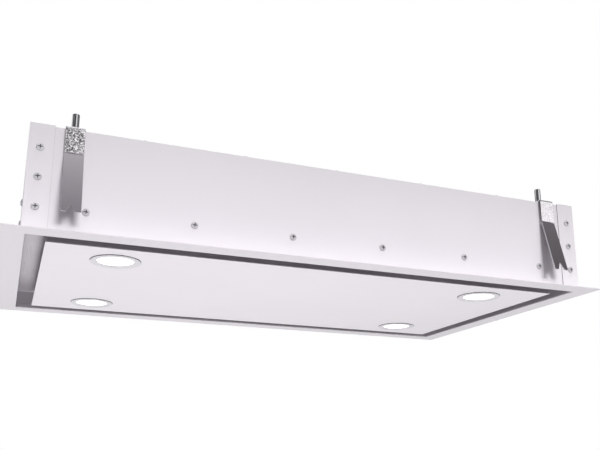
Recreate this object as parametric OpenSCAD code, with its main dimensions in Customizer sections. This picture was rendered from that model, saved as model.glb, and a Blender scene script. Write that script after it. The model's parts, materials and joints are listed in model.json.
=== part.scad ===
// Ceiling range hood with a perimeter intake panel, for a cut-out in the ceiling.
// Millimetres. The origin is the centre of the flange's underside.
// X runs along the hood, Y away from its front wall and Z up into the ceiling.

/* [Overall size] */
// Length of the ceiling flange, along X
length = 900; // [860:10:1000]
// Depth of the ceiling flange, along Y
depth = 520; // [500:10:580]
// Height of the walls above the underside of the flange
body_h = 144; // [140:1:170]
// Width of the flange, from its outer edge to the opening
flange_w = 30; // [26:1:36]
// Width of the intake slot round the panel
slot_w = 25.5; // [20:0.5:30]

/* [Walls] */
// Thickness of the wall and top sheets
wall_t = 1; // [0.8:0.1:1.5]
// Thickness of the flange sheet
flange_t = 1.5; // [1:0.1:2]
// Distance from the opening out to the outer face of an end wall
sill_x = 5.5; // [5:0.1:7]
// Distance from the opening out to the outer face of a long wall
sill_y = 6.75; // [6.5:0.05:8]
// Width of the end caps' returns over the long walls
return_w = 31; // [26:1:34]
// How far the end caps stand above the long walls
cap_rise = 1.5; // [1:0.1:3]
// Width of the fold along the top of each long wall
fold_w = 15; // [12:1:18]
// How far the edge of the top plate stays back from the walls' outer faces
lid_inset = 3; // [2:0.5:4]
// Height of the flange frame's upstand behind the long walls
upstand_h = 44; // [42:1:50]
// Height of the flange frame's upstand behind the end walls
end_upstand_h = 68; // [66:1:74]
// Thickness of the upstand
upstand_t = 1.2; // [1:0.1:1.5]

/* [Intake channel] */
// Height of the channel shelf above the underside of the flange
shelf_z = 30; // [29:0.5:32]
// Width of the channel shelf
shelf_w = 75; // [70:1:80]
// Thickness of the stainless liner sheet
liner_t = 1; // [0.8:0.1:1.2]
// Thickness of the filter deck sheet
deck_t = 1; // [0.8:0.1:1.5]
// How far the filter deck lies over the shelf
deck_lap = 20; // [12:1:24]
// Width of the deck between a filter and the shelf's edge
bay_rim = 25; // [20:1:30]
// Width of the bar between the two filters
bay_bar = 20; // [14:1:26]
// Height of the collar round each filter, above the shelf's top face
collar_h = 15; // [14:0.5:18]
// Width of the lip that the filters close against
collar_lip = 6; // [4:0.5:8]

/* [Filters] */
// Clearance round a filter in its bay
filter_fit = 0.5; // [0.3:0.1:1]
// Width of the folded edges of a filter frame
filter_edge = 12; // [10:1:14]
// Sheet thickness of a filter frame
filter_t = 1; // [0.8:0.1:1.2]
// How far the lugs and the latch bolt reach over the deck
filter_hook = 3.5; // [3:0.5:5]
// Length of the sliding latch plate
latch_l = 44; // [38:1:50]
// Travel of the latch when it is drawn back
latch_travel = 4.5; // [4:0.5:5.5]

/* [Panel] */
// Thickness of the panel's face sheet
panel_t = 1.5; // [1.5:0.1:2.5]
// Thickness of the tray sheet
tray_t = 0.8; // [0.6:0.1:1]
// Height of the tray's rim above the underside of the panel
tray_h = 14; // [13:0.5:16]
// How far the tray stays back from the panel's edge
tray_inset = 1.5; // [1:0.5:3]
// Distance of the hinge pins from the panel's far edge
pivot_inset = 14.5; // [13:0.5:17]
// Height of the hinge pins above the underside of the panel
pivot_z = 12; // [11.5:0.1:12.5]
// Distance of each hinge from the end of the panel
hinge_inset = 194.5; // [170:1:210]
// Radius of the hinge pins
pin_r = 2; // [1.5:0.1:2.5]
// Distance of each magnetic catch from the middle of the panel
catch_x = 150; // [120:5:180]

/* [Lamps] */
// Distance of a lamp's centre from the end of the panel
lamp_inset_x = 96.5; // [80:0.5:120]
// Distance of a lamp's centre from the long edge of the panel
lamp_inset_y = 61.5; // [55:0.5:80]
// Outer radius of the lamp's bezel
bezel_r = 35; // [34:0.5:40]
// Radius of the glowing lens that shows
lens_r = 25.5; // [24:0.5:27]
// Height of the lamp housing's top above the underside of the panel
lamp_top = 24; // [22:0.5:26]

/* [Hanging clips] */
// Distance of a clip's centre from the end of the body
clip_inset = 55.5; // [52:0.5:58]
// Width of a clip
clip_w = 24.5; // [20:0.5:26]
// Sheet thickness of a clip
clip_t = 2; // [1.5:0.1:2.5]
// Distance from the long wall out to the clip's outer face
clip_out = 6; // [5:0.5:8]
// Height of the bend between the clip and its tongue
bend_z = 108.5; // [100:0.5:112]
// Height of the tongue's free end
tongue_end_z = 24; // [20:1:30]
// Angle at which the tongue stands out from the wall
tongue_angle = 15; // [10:1:15]
// Sheet thickness of a tongue
tongue_t = 1.6; // [1.2:0.1:1.8]
// Radius of the plain end of the hanger studs
stud_r = 4.75; // [4:0.25:5]
// Distance of a stud's axis behind the outer face of the long wall
stud_in = 14; // [13:0.5:16]
// How far a stud stands above the walls
stud_rise = 28; // [20:1:40]

/* [Screws] */
// Radius of a pan head
head_r = 4.8; // [4:0.1:5]
// Height of a pan head
head_h = 2.6; // [2:0.1:3]
// Radius of a screw's shank
screw_r = 2.4; // [2:0.1:2.5]
// Height of the lowest screws
low_screw_z = 34.5; // [33:0.5:38]
// Spacing of the screws up each end strip
strip_pitch = 39.5; // [36:0.5:42]
// Distance of the end strip's screws from the end of the body
strip_inset = 14.5; // [12:0.5:17]
// Number of screws along the bottom of a long wall
row_screws = 6; // [4:1:7]
// Distance of the first of these screws from the end of the body
row_inset = 75.5; // [74:0.5:78]

/* [Fan] */
// Distance of the fan's axis left of the middle
fan_left = 140; // [130:1:145]
// Distance of the fan's axis in front of the middle
fan_front = 20; // [10:1:30]
// Outer radius of the impeller
impeller_r = 95; // [85:1:98]
// Radius of the scroll at its tongue
scroll_start_r = 108; // [106:1:110]
// Radius of the scroll where it meets the outlet
scroll_end_r = 172; // [165:1:176]
// Gap between the filter collars and the scroll
scroll_gap = 19; // [16:1:22]
// Thickness of the scroll sheets
scroll_t = 1.2; // [1:0.1:1.5]
// Height of the rubber bushes over the scroll
bush_h = 9; // [8:0.5:12]
// Number of impeller blades
blades = 36; // [24:1:40]

/* [Outlet] */
// Outer radius of the round duct collar
duct_r = 74.5; // [70:0.5:75]
// Thickness of the collar's wall
duct_t = 1.2; // [1:0.1:1.5]
// Height of the collar above the walls
duct_rise = 61; // [50:1:80]
// Height of the damper's axis above the walls
damper_rise = 25; // [22:1:30]

/* [Control box] */
// Length of the control box
box_l = 145; // [140:1:150]
// Depth of the control box
box_d = 110; // [106:1:120]
// Height of the control box
box_h = 54; // [50:1:60]
// Radius of the bore of the cable gland
gland_bore_r = 5; // [4:0.1:6]

/* [Hidden] */
$fn = 64;

// Overrun of every cut past the face it opens
cut = 1;
// Gap of a piece that seats close to another
seat = 0.3;
// Radial clearance of a shaft or pin that turns in its hole
run_fit = 0.05;
// Radial clearance of a pin or screw that sits still in its hole
hole_fit = 0.2;

open_l = length - 2 * flange_w;
open_d = depth - 2 * flange_w;
body_l = open_l + 2 * sill_x;
body_d = open_d + 2 * sill_y;
panel_l = open_l - 2 * slot_w;
panel_d = open_d - 2 * slot_w;
shelf_top = shelf_z + liner_t;
deck_top = shelf_top + deck_t;
collar_top = shelf_top + collar_h;
lid_top = body_h + wall_t;
foot_h = 0.3;
foot_top = flange_t + foot_h;
sides = [-1, 1];

// Bays and filters
well_l = open_l - 2 * shelf_w;
well_d = open_d - 2 * shelf_w;
bay_l = (well_l - 2 * bay_rim - bay_bar) / 2;
bay_d = well_d - 2 * bay_rim;
bay_x = (bay_bar + bay_l) / 2;
filter_l = bay_l - 2 * filter_fit;
filter_d = bay_d - 2 * filter_fit;
filter_top = collar_top - deck_t - seat;
hook_t = 1.5;
hook_w = 14;
hook_z = deck_top + seat;
hook_inset = 60;
hook_slot_h = hook_t + 3 * seat;
latch_t = 2;
latch_d = 16;
latch_bolt_w = 20;
latch_guide = 6;
latch_window = 26;
bar_w = 18;
bar_t = 2.7;
bar_drop = 7;
pleat_pitch = 9;
pleat_t = 2;
pocket_l = latch_l + 2 * latch_guide;
pocket_d = latch_d + latch_travel + 2 * latch_guide;

// Panel, lamps, hinges and catches
lamp_x = panel_l / 2 - lamp_inset_x;
lamp_y = panel_d / 2 - lamp_inset_y;
bezel_t = 1;
bezel_fit = 0.15;
bezel_hub_r = lens_r + 5;
bezel_hub_h = 9;
lens_lip = 0.5;
lens_t = 2.4;
hub_fit = 0.5;
fin_t = 1.5;
fin_count = 4;
lamp_core_r = 21;
pivot_y = panel_d / 2 - pivot_inset;
hinge_x = panel_l / 2 - hinge_inset;
hinge_leg_w = 10;
hinge_r = 6;
hinge_ear_t = 3;
hinge_play = 0.5;
hinge_foot_l = 34;
hinge_foot_d = 20;
hinge_foot_t = 1.6;
pin_head_r = 3.5;
pin_head_t = 1;
notch_play = 2;
catch_y = panel_d / 2 - 17;
catch_l = 30;
catch_d = 14;
magnet_h = 7;
magnet_inset = 4;

// Clips
clip_x = body_l / 2 - clip_inset;
wall_face = body_d / 2;
clip_face = wall_face + clip_out;
pivot_gap = 0.3;
tongue_reach = (bend_z - tongue_end_z) / cos(tongue_angle);
notch_w = 11;
notch_h = 10;
clip_tab_in = 28;
clip_tab_gap = 0.4;
clip_tab_z = body_h + clip_tab_gap;
clip_tab_top = clip_tab_z + clip_t;
angle_h = 30;
stud_y = wall_face - stud_in;
stud_foot = 18;
stud_chamfer = 1;
stud_step = 0.25;
stud_neck = 1.5;
thread_r = stud_r + stud_step;
nut_r = 9.24;
nut_h = 8;
washer_r = 9;
washer_t = 1.5;

// Screws
recess_r = 2.8;
recess_w = 0.9;
recess_h = 1.4;
head_round = 1;
wall_shank = 4.5;
row_pitch = (body_l - 2 * row_inset) / (row_screws - 1);
strip_x = body_l / 2 - strip_inset;
strip_count = 3;
end_screw_z = 60;
end_screw_in = 77;
end_screw_out = 170;
top_head_h = 1.5;
top_screws = 5;
top_pitch = 140;
screw_hole_r = screw_r + hole_fit;

// Fan
fan_x = -fan_left;
fan_y = -fan_front;
scroll_z = collar_top + scroll_gap;
cover_top = body_h - bush_h;
cover_z = cover_top - scroll_t;
tongue_a = 40;
scroll_sweep = 270 + tongue_a;
scroll_step = 10;
duct_in = scroll_start_r * sin(tongue_a);
tongue_x = scroll_start_r * cos(tongue_a);
duct_end = 130;
impeller_foot = 5;
impeller_z = scroll_z + scroll_t + impeller_foot;
impeller_ring_t = 1.5;
blade_band = 16;
blade_t = 1;
blade_edge = 0.6;
blade_lean = 9;
blade_steps = 4;
disc_t = 1.5;
disc_drop = 10;
disc_z = cover_z - disc_drop - disc_t;
rotor_r = 40;
rotor_t = 2;
rotor_lip = 6;
rotor_h = 34;
rotor_top = disc_z + disc_t + disc_t;
rotor_z = rotor_top - rotor_h;
stator_gap = 1.5;
stator_r = rotor_r - rotor_t - stator_gap;
stator_lift = 2;
stator_z = rotor_z + rotor_t + stator_lift;
neck_r = 20;
neck_h = 14;
shaft_r = 4;
bearing_r = 8;
bearing_h = 5;
bearing_fit = 0.02;
bearing_inset = 2;
shaft_tail = 1;
shaft_head = 2;
bell_r = 8;
bell_t = 1.2;
bell_flange = 9;
bell_play = 1;
throat_r = impeller_r - blade_band - bell_t - bell_play;
bell_c = throat_r + bell_r;
bell_steps = 6;
bush_r = 8;
bush_waist = 2;
bush_cap = 2.5;
bush_at = 74;

// Outlet
duct_y = fan_y + (duct_in + scroll_end_r) / 2;
elbow_x = fan_x + duct_end;
elbow_l = 170;
elbow_t = 1.2;
outlet_x = elbow_x + elbow_l / 2;
duct_bore_r = duct_r - duct_t;
collar_flange = 18;
collar_t = 1.2;
duct_play = 0.5;
damper_z = body_h + damper_rise;
damper_pin_r = 2;
flap_t = 1;
flap_gap = 1.8;
flap_r = duct_bore_r - flap_gap;
stop_w = 4;
stop_t = 2;
knuckle_r = 3.4;
knuckle_out = 64;
knuckle_mid = 34;
knuckle_in = 4;
flap_clear = 0.5;

// Control box
box_t = 2;
box_margin_x = 30;
box_margin_y = 46;
box_x = body_l / 2 - box_margin_x - box_l;
box_y = -body_d / 2 + box_margin_y;
box_z = body_h - box_h;
box_lid_t = 2.5;
board_l = 80;
board_d = 62;
board_t = 1.6;
board_drop = 12;
board_inset = 4;
post_r = 3;
post_inset = 5;
board_z = body_h - box_t - board_drop - board_t;
terminal_l = 40;
terminal_d = 16;
terminal_h = 14;
terminal_ways = 5;
terminal_hole_r = 2;
cap_r = 12;
cap_l = 54;
gland_r = 8;
gland_hex_r = 12;
gland_hex_h = 6;
gland_dome_r = 9.5;
gland_dome_h = 11;
gland_nut_h = 5;
gland_in_x = 30;
gland_in_y = 25;
gland_x = box_x + box_l - gland_in_x;
gland_y = box_y + box_d - gland_in_y;

white = "#e8e4e8";
steel = "#b9b9bc";
zinc = "#c4c6c8";
dark = "#4a4a4e";
black = "#26262a";

// Box between two corners
module span(a, b) {
    translate(a) cube(b - a);
}

// List of points in reverse order
function flipped(points) = [for (i = [len(points) - 1 : -1 : 0]) points[i]];

// Flat ring with square corners, its band measured inwards
module ring(l, d, band, z0, z1) {
    translate([0, 0, z0]) linear_extrude(z1 - z0) difference() {
        square([l, d], center = true);
        square([l - 2 * band, d - 2 * band], center = true);
    }
}

// Upright cylinder between two heights
module post(r, z0, z1) {
    translate([0, 0, z0]) cylinder(r = r, h = z1 - z0);
}

// Upright tube between two heights
module tube(r_out, r_in, z0, z1) {
    difference() {
        post(r_out, z0, z1);
        post(r_in, z0 - cut, z1 + cut);
    }
}

// Cylinder along X between two places
module rod_x(r, x0, x1) {
    translate([x0, 0, 0]) rotate([0, 90, 0]) cylinder(r = r, h = x1 - x0);
}

// Mirrors what is drawn in the front left quarter to a quarter named by two signs
module quarter(side_x, side_y) {
    mirror([side_x > 0 ? 1 : 0, 0, 0]) mirror([0, side_y > 0 ? 1 : 0, 0]) children();
}

// Screw with its head outside and its shank pointing down, the head's seat at the origin
module pan_screw(shank, h) {
    difference() {
        union() {
            post(head_r, 0, h - head_round);
            translate([0, 0, h - head_round]) cylinder(r1 = head_r, r2 = head_r - head_round, h = head_round);
            post(screw_r, -shank, 0);
        }
        for (a = [45, 135]) {
            rotate([0, 0, a]) translate([-recess_r, -recess_w / 2, h - recess_h]) {
                cube([2 * recess_r, recess_w, recess_h + cut]);
            }
        }
    }
}

// Places on the front wall, seen from the front left quarter
function row_xs() = [for (i = [0 : row_screws - 1]) -body_l / 2 + row_inset + i * row_pitch];
function strip_zs() = [for (i = [0 : strip_count - 1]) low_screw_z + i * strip_pitch];
function end_ys() = [-end_screw_out, -end_screw_in, end_screw_in, end_screw_out];
function top_xs() = [for (i = [0 : top_screws - 1]) (i - (top_screws - 1) / 2) * top_pitch];

// Cylinder into the front wall, pointing along Y
module front_hole(x, z, r, y0, y1) {
    translate([x, y0, z]) rotate([-90, 0, 0]) cylinder(r = r, h = y1 - y0);
}

// Holes for the screws of the front wall and its end strips
module front_holes() {
    y0 = -wall_face - wall_t - cut;
    y1 = -wall_face + wall_t + upstand_t + cut;
    for (x = row_xs()) front_hole(x, low_screw_z, screw_hole_r, y0, y1);
    for (s = sides, z = strip_zs()) front_hole(s * strip_x, z, screw_hole_r, y0, y1);
}

// Holes for the screws of the left end wall
module end_holes() {
    for (y = end_ys()) {
        translate([-body_l / 2 - cut, y, end_screw_z]) {
            rod_x(screw_hole_r, 0, wall_t + upstand_t + 2 * cut);
        }
    }
}

// Flat rim that shows under the ceiling, with a low foot under the walls and an upstand behind them
module flange_frame() {
    in_l = body_l - 2 * wall_t;
    in_d = body_d - 2 * wall_t;
    color(white) difference() {
        union() {
            ring(length, depth, flange_w, 0, flange_t);
            ring(body_l + 2 * foot_h, body_d + 2 * wall_t + 2 * foot_h, 2 * wall_t + foot_h, flange_t, foot_top);
            ring(in_l, in_d, upstand_t, flange_t, upstand_h);
            for (s = sides) {
                translate([s * (in_l - upstand_t) / 2, 0, flange_t]) {
                    translate([-upstand_t / 2, -in_d / 2, 0]) cube([upstand_t, in_d, end_upstand_h - flange_t]);
                }
            }
        }
        front_holes();
        mirror([0, 1, 0]) front_holes();
        end_holes();
        mirror([1, 0, 0]) end_holes();
    }
}

// Long wall with a fold along its top, notched for the hanger angles
module long_wall() {
    x1 = body_l / 2 - wall_t;
    notch = clip_w / 2 + seat;
    color(white) difference() {
        union() {
            span([-x1, -wall_face, foot_top], [x1, -wall_face + wall_t, body_h]);
            span([-x1, -wall_face, body_h - wall_t], [x1, -wall_face + fold_w, body_h]);
        }
        front_holes();
        for (s = sides) {
            span([s * clip_x - notch, -wall_face + wall_t, body_h - wall_t - cut],
                [s * clip_x + notch, -wall_face + fold_w + cut, body_h + cut]);
        }
        for (x = top_xs()) {
            translate([x, -wall_face + fold_w / 2, 0]) post(screw_hole_r, body_h - wall_t - cut, body_h + cut);
        }
    }
}

module front_wall() {
    long_wall();
}

module rear_wall() {
    mirror([0, 1, 0]) long_wall();
}

// End wall with returns that lap over the outside of the long walls
module end_cap() {
    x0 = -body_l / 2;
    top = body_h + cap_rise;
    y1 = wall_face + wall_t;
    color(white) difference() {
        union() {
            span([x0, -y1, foot_top], [x0 + wall_t, y1, top]);
            for (s = sides) {
                y0 = s > 0 ? wall_face : -y1;
                span([x0, y0, foot_top], [x0 + return_w, y0 + wall_t, top]);
            }
        }
        front_holes();
        mirror([0, 1, 0]) front_holes();
        end_holes();
    }
}

module left_end_cap() {
    end_cap();
}

module right_end_cap() {
    mirror([1, 0, 0]) end_cap();
}

// Lid on the folds of the long walls, open for the duct, the gland and the hangers
module top_plate() {
    x1 = body_l / 2 - wall_t - seat;
    y1 = wall_face - lid_inset;
    notch = clip_w / 2 + 2 * seat;
    color(zinc) difference() {
        span([-x1, -y1, body_h], [x1, y1, lid_top]);
        translate([outlet_x, duct_y, 0]) post(duct_r + duct_play, body_h - cut, lid_top + cut);
        translate([gland_x, gland_y, 0]) post(gland_r + hole_fit, body_h - cut, lid_top + cut);
        for (sx = sides, sy = sides) {
            translate([sx * clip_x, sy * (wall_face - clip_tab_in / 2 - seat / 2), body_h - cut]) {
                translate([-notch, -clip_tab_in / 2 - seat, 0]) {
                    cube([2 * notch, clip_tab_in + 2 * seat, wall_t + 2 * cut]);
                }
            }
        }
        for (s = sides, x = top_xs()) {
            translate([x, s * (wall_face - fold_w / 2), 0]) post(screw_hole_r, body_h - cut, lid_top + cut);
        }
    }
}

// Stainless walls and shelf of the intake slot
module channel_liner() {
    color(steel) {
        ring(open_l + 2 * liner_t, open_d + 2 * liner_t, liner_t, flange_t, shelf_top);
        ring(open_l, open_d, shelf_w, shelf_z, shelf_top);
    }
}

// Slot through a collar wall for a lug or a bolt, centred on the edge of a bay
module hook_slot(w) {
    translate([-w / 2 - seat, -deck_t - cut, deck_top]) cube([w + 2 * seat, deck_t + 2 * cut, hook_slot_h]);
}

// Plate with a collar and a lip round each of its two filter openings
module filter_deck() {
    color(zinc) difference() {
        union() {
            span([-well_l / 2 - deck_lap, -well_d / 2 - deck_lap, shelf_top],
                [well_l / 2 + deck_lap, well_d / 2 + deck_lap, deck_top]);
            for (s = sides) {
                translate([s * bay_x, 0, 0]) {
                    ring(bay_l + 2 * deck_t, bay_d + 2 * deck_t, deck_t, shelf_top, collar_top);
                }
            }
        }
        for (s = sides) {
            translate([s * bay_x, 0, 0]) {
                span([-bay_l / 2, -bay_d / 2, shelf_top - cut], [bay_l / 2, bay_d / 2, deck_top + cut]);
                translate([0, -bay_d / 2, 0]) hook_slot(latch_bolt_w);
                for (h = sides) {
                    translate([h * (bay_l / 2 - hook_inset), bay_d / 2, 0]) mirror([0, 1, 0]) hook_slot(hook_w);
                }
            }
        }
    }
    color(zinc) for (s = sides) {
        translate([s * bay_x, 0, 0]) ring(bay_l, bay_d, collar_lip, collar_top - deck_t, collar_top);
    }
}

// Filter frame folded from sheet, with two lugs behind and a pocket for the latch in front
module filter_frame(side) {
    color("#c9cacc") translate([side * bay_x, 0, 0]) difference() {
        union() {
            ring(filter_l, filter_d, filter_t, shelf_top, filter_top);
            ring(filter_l, filter_d, filter_edge, shelf_top, shelf_top + filter_t);
            ring(filter_l, filter_d, filter_edge, filter_top - filter_t, filter_top);
            span([-pocket_l / 2, -filter_d / 2, shelf_top],
                [pocket_l / 2, -filter_d / 2 + pocket_d, shelf_top + filter_t]);
            for (h = sides) {
                translate([h * (bay_l / 2 - hook_inset) - hook_w / 2, filter_d / 2 - filter_t, hook_z]) {
                    cube([hook_w, filter_t + filter_hook, hook_t]);
                }
            }
        }
        translate([0, -filter_d / 2, 0]) {
            span([-latch_window / 2, latch_guide, shelf_top - cut],
                [latch_window / 2, latch_guide + latch_d + latch_travel, shelf_top + filter_t + cut]);
            span([-latch_bolt_w / 2 - seat, -cut, shelf_top + filter_t],
                [latch_bolt_w / 2 + seat, filter_t + cut, hook_z + latch_t + seat]);
        }
    }
}

module filter_frame_left() {
    filter_frame(-1);
}

module filter_frame_right() {
    filter_frame(1);
}

// Pleated mesh inside a filter frame, open over the latch
module filter_mesh(side) {
    z0 = shelf_top + filter_t;
    z1 = filter_top - filter_t - pleat_t;
    l = filter_l - 2 * filter_t;
    d = filter_d - 2 * filter_t;
    pleats = floor(l / pleat_pitch);
    low = [for (i = [0 : 2 * pleats]) [-l / 2 + i * l / pleats / 2, i % 2 == 0 ? z0 : z1]];
    high = [for (p = low) p + [0, pleat_t]];
    color("#a9abae") translate([side * bay_x, 0, 0]) difference() {
        rotate([90, 0, 0]) linear_extrude(d, center = true) polygon(concat(low, flipped(high)));
        span([-pocket_l / 2, -d / 2 - cut, z0 - cut], [pocket_l / 2, -d / 2 + pocket_d, filter_top]);
    }
}

module filter_mesh_left() {
    filter_mesh(-1);
}

module filter_mesh_right() {
    filter_mesh(1);
}

// Sliding latch plate with a bolt over the deck's edge and a finger bar
module filter_latch(side) {
    y0 = -filter_d / 2 + latch_guide;
    color(dark) translate([side * bay_x, 0, 0]) {
        span([-latch_l / 2, y0, hook_z], [latch_l / 2, y0 + latch_d, hook_z + latch_t]);
        span([-latch_bolt_w / 2, -filter_d / 2 - filter_hook, hook_z], [latch_bolt_w / 2, y0, hook_z + latch_t]);
        span([-bar_w / 2, y0 + seat, shelf_top - bar_drop], [bar_w / 2, y0 + seat + bar_t, hook_z]);
    }
}

module filter_latch_left() {
    filter_latch(-1);
}

module filter_latch_right() {
    filter_latch(1);
}

// Draws its children at the four lamps
module at_lamps() {
    for (sx = sides, sy = sides) translate([sx * lamp_x, sy * lamp_y, 0]) children();
}

// White sheet flush with the flange, stepped round each lamp
module panel_face() {
    color(white) difference() {
        span([-panel_l / 2, -panel_d / 2, 0], [panel_l / 2, panel_d / 2, panel_t]);
        at_lamps() {
            post(bezel_r + bezel_fit, -cut, bezel_t);
            post(bezel_hub_r + hub_fit, -cut, panel_t + cut);
        }
    }
}

// Shallow stainless tray behind the face, notched for the fixed hinge legs
module panel_tray() {
    l = panel_l - 2 * tray_inset;
    d = panel_d - 2 * tray_inset;
    floor_top = panel_t + tray_t;
    notch = hinge_leg_w / 2 + notch_play;
    color(steel) difference() {
        union() {
            span([-l / 2, -d / 2, panel_t], [l / 2, d / 2, floor_top]);
            ring(l, d, tray_t, panel_t, tray_h);
        }
        at_lamps() post(bezel_hub_r + hub_fit, panel_t - cut, floor_top + cut);
        for (s = sides) {
            span([s * hinge_x - notch, d / 2 - tray_t - cut, floor_top], [s * hinge_x + notch, d / 2 + cut, tray_h + cut]);
        }
    }
}

// Flat rings set flush in the face, each with a hub that holds the lens
module lamp_bezels() {
    color("#d9d9db") at_lamps() difference() {
        union() {
            post(bezel_r, 0, bezel_t);
            post(bezel_hub_r, 0, bezel_hub_h);
        }
        post(lens_r, -cut, bezel_t + cut);
        post(lens_r + lens_lip + lens_lip, bezel_t, bezel_hub_h + cut);
    }
}

module lamp_lenses() {
    color("#ffffff") at_lamps() post(lens_r + lens_lip, bezel_t, bezel_t + lens_t);
}

// Finned heat sinks on the bezels' hubs
module lamp_housings() {
    z0 = bezel_hub_h;
    pitch = (lamp_top - z0 - fin_t) / (fin_count - 1);
    color("#9a9da1") at_lamps() {
        post(lamp_core_r, z0, lamp_top);
        for (i = [0 : fin_count - 1]) post(bezel_hub_r, z0 + i * pitch, z0 + i * pitch + fin_t);
    }
}

// Draws its children at the two hinges, on the pin's axis
module at_hinges() {
    for (s = sides) translate([s * hinge_x, pivot_y, pivot_z]) children();
}

// Fixed legs that hang from the shelf down to the hinge pins
module hinge_brackets() {
    w = hinge_leg_w / 2;
    top = shelf_z - pivot_z;
    color(zinc) at_hinges() difference() {
        union() {
            rod_x(hinge_r, -w, w);
            span([-w, -hinge_r, 0], [w, hinge_r, top]);
            span([-hinge_foot_l / 2, -hinge_foot_d / 2, top - hinge_foot_t], [hinge_foot_l / 2, hinge_foot_d / 2, top]);
        }
        rod_x(pin_r + run_fit, -w - cut, w + cut);
    }
}

// Ears on the tray, one on each side of each leg
module hinge_ears() {
    x0 = hinge_leg_w / 2 + hinge_play;
    foot = panel_t + tray_t - pivot_z;
    color(zinc) at_hinges() for (s = sides) {
        xa = s > 0 ? x0 : -x0 - hinge_ear_t;
        difference() {
            union() {
                rod_x(hinge_r, xa, xa + hinge_ear_t);
                span([xa, -hinge_r, foot], [xa + hinge_ear_t, hinge_r, 0]);
            }
            rod_x(pin_r + run_fit, xa - cut, xa + hinge_ear_t + cut);
        }
    }
}

// Headed pins through the ears and legs
module hinge_pins() {
    x1 = hinge_leg_w / 2 + hinge_play + hinge_ear_t + seat;
    color(dark) at_hinges() {
        rod_x(pin_r, -x1, x1);
        for (xa = [-x1 - pin_head_t, x1]) rod_x(pin_head_r, xa, xa + pin_head_t);
    }
}

// Draws its children at the two catches
module at_catches() {
    for (s = sides) translate([s * catch_x, -catch_y, 0]) children();
}

// Magnets in holders under the shelf
module catch_magnets() {
    color(black) at_catches() {
        span([-catch_l / 2, -catch_d / 2, shelf_z - magnet_h], [catch_l / 2, catch_d / 2, shelf_z]);
    }
}

// Folded plates on the tray that the magnets hold
module catch_strikes() {
    top = shelf_z - magnet_h - seat;
    w = catch_l / 2 - magnet_inset;
    z0 = panel_t + tray_t;
    color(zinc) at_catches() {
        span([-w, -catch_d / 2, top - clip_t], [w, catch_d / 2, top]);
        for (xa = [-w, w - tray_t]) span([xa, -catch_d / 2, z0], [xa + tray_t, catch_d / 2, top - clip_t]);
    }
}

// Plate outside the wall with a tab that hooks over it to the stud
module clip() {
    w = clip_w / 2;
    color(zinc) translate([-clip_x, 0, 0]) difference() {
        union() {
            span([-w, -clip_face, bend_z + tongue_t / 2 + pivot_gap], [w, -clip_face + clip_t, clip_tab_top]);
            span([-w, -clip_face, clip_tab_z], [w, -wall_face + clip_tab_in, clip_tab_top]);
        }
        translate([0, -stud_y, 0]) post(thread_r + hole_fit, clip_tab_z - cut, clip_tab_top + cut);
    }
}

// Spring tongue that slopes out from the bend and ends in a notch
module tongue() {
    w = clip_w / 2;
    r = tongue_t / 2;
    color("#8f8c92") translate([-clip_x, -clip_face + clip_t / 2, bend_z]) rotate([-tongue_angle, 0, 0]) difference() {
        union() {
            rod_x(r, -w, w);
            span([-w, -r, -tongue_reach], [w, r, 0]);
        }
        translate([0, r + cut, -tongue_reach]) rotate([90, 0, 0]) linear_extrude(tongue_t + 2 * cut) {
            polygon([[-notch_w / 2, 0], [0, notch_h], [notch_w / 2, 0], [notch_w / 2, -cut], [-notch_w / 2, -cut]]);
        }
    }
}

module clip_front_left() {
    quarter(-1, -1) clip();
}

module clip_front_right() {
    quarter(1, -1) clip();
}

module clip_rear_left() {
    quarter(-1, 1) clip();
}

module clip_rear_right() {
    quarter(1, 1) clip();
}

module tongue_front_left() {
    quarter(-1, -1) tongue();
}

module tongue_front_right() {
    quarter(1, -1) tongue();
}

module tongue_rear_left() {
    quarter(-1, 1) tongue();
}

module tongue_rear_right() {
    quarter(1, 1) tongue();
}

// Draws its children at the four studs
module at_studs() {
    for (sx = sides, sy = sides) translate([sx * clip_x, sy * stud_y, 0]) children();
}

// Angles welded inside the long walls, under the clips' tabs
module hanger_angles() {
    w = clip_w / 2;
    y0 = -wall_face + wall_t;
    color(zinc) for (sx = sides, sy = sides) quarter(sx, sy) translate([-clip_x, 0, 0]) difference() {
        union() {
            span([-w, y0, clip_tab_z - angle_h], [w, y0 + clip_t, clip_tab_z]);
            span([-w, y0, clip_tab_z - clip_t], [w, -wall_face + clip_tab_in, clip_tab_z]);
        }
        translate([0, -stud_y, 0]) post(thread_r + hole_fit, clip_tab_z - clip_t - cut, clip_tab_z + cut);
    }
}

// Studs that stand up through the clips to hang the hood from, threaded up to the washers and plain above
module hanger_studs() {
    top = body_h + stud_rise;
    neck = clip_tab_top + washer_t + stud_neck;
    color(steel) at_studs() {
        post(thread_r, clip_tab_z - stud_foot, neck);
        post(stud_r, neck, top - stud_chamfer);
        translate([0, 0, top - stud_chamfer]) {
            cylinder(r1 = stud_r, r2 = stud_r - stud_chamfer, h = stud_chamfer);
        }
    }
}

// A nut below each angle and a washer pressed on over each tab
module hanger_nuts() {
    low = clip_tab_z - clip_t;
    color(steel) at_studs() difference() {
        union() {
            translate([0, 0, low - nut_h]) cylinder(r = nut_r, h = nut_h, $fn = 6);
            post(washer_r, clip_tab_top, clip_tab_top + washer_t);
        }
        post(thread_r + bearing_fit, low - nut_h - cut, clip_tab_top + washer_t + cut);
    }
}

// Outline of the scroll, drawn for an outlet on the -Y side; inset moves its walls in
function scroll_points(inset, past) = concat(
    [for (a = [0 : scroll_step : scroll_sweep])
        let (r = scroll_start_r + (scroll_end_r - scroll_start_r) * a / scroll_sweep - inset)
        [r * cos(a - tongue_a), r * sin(a - tongue_a)]],
    [[duct_end + past, -scroll_end_r + inset],
     [duct_end + past, -duct_in - inset],
     [tongue_x - inset, -duct_in - inset]]
);

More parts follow.
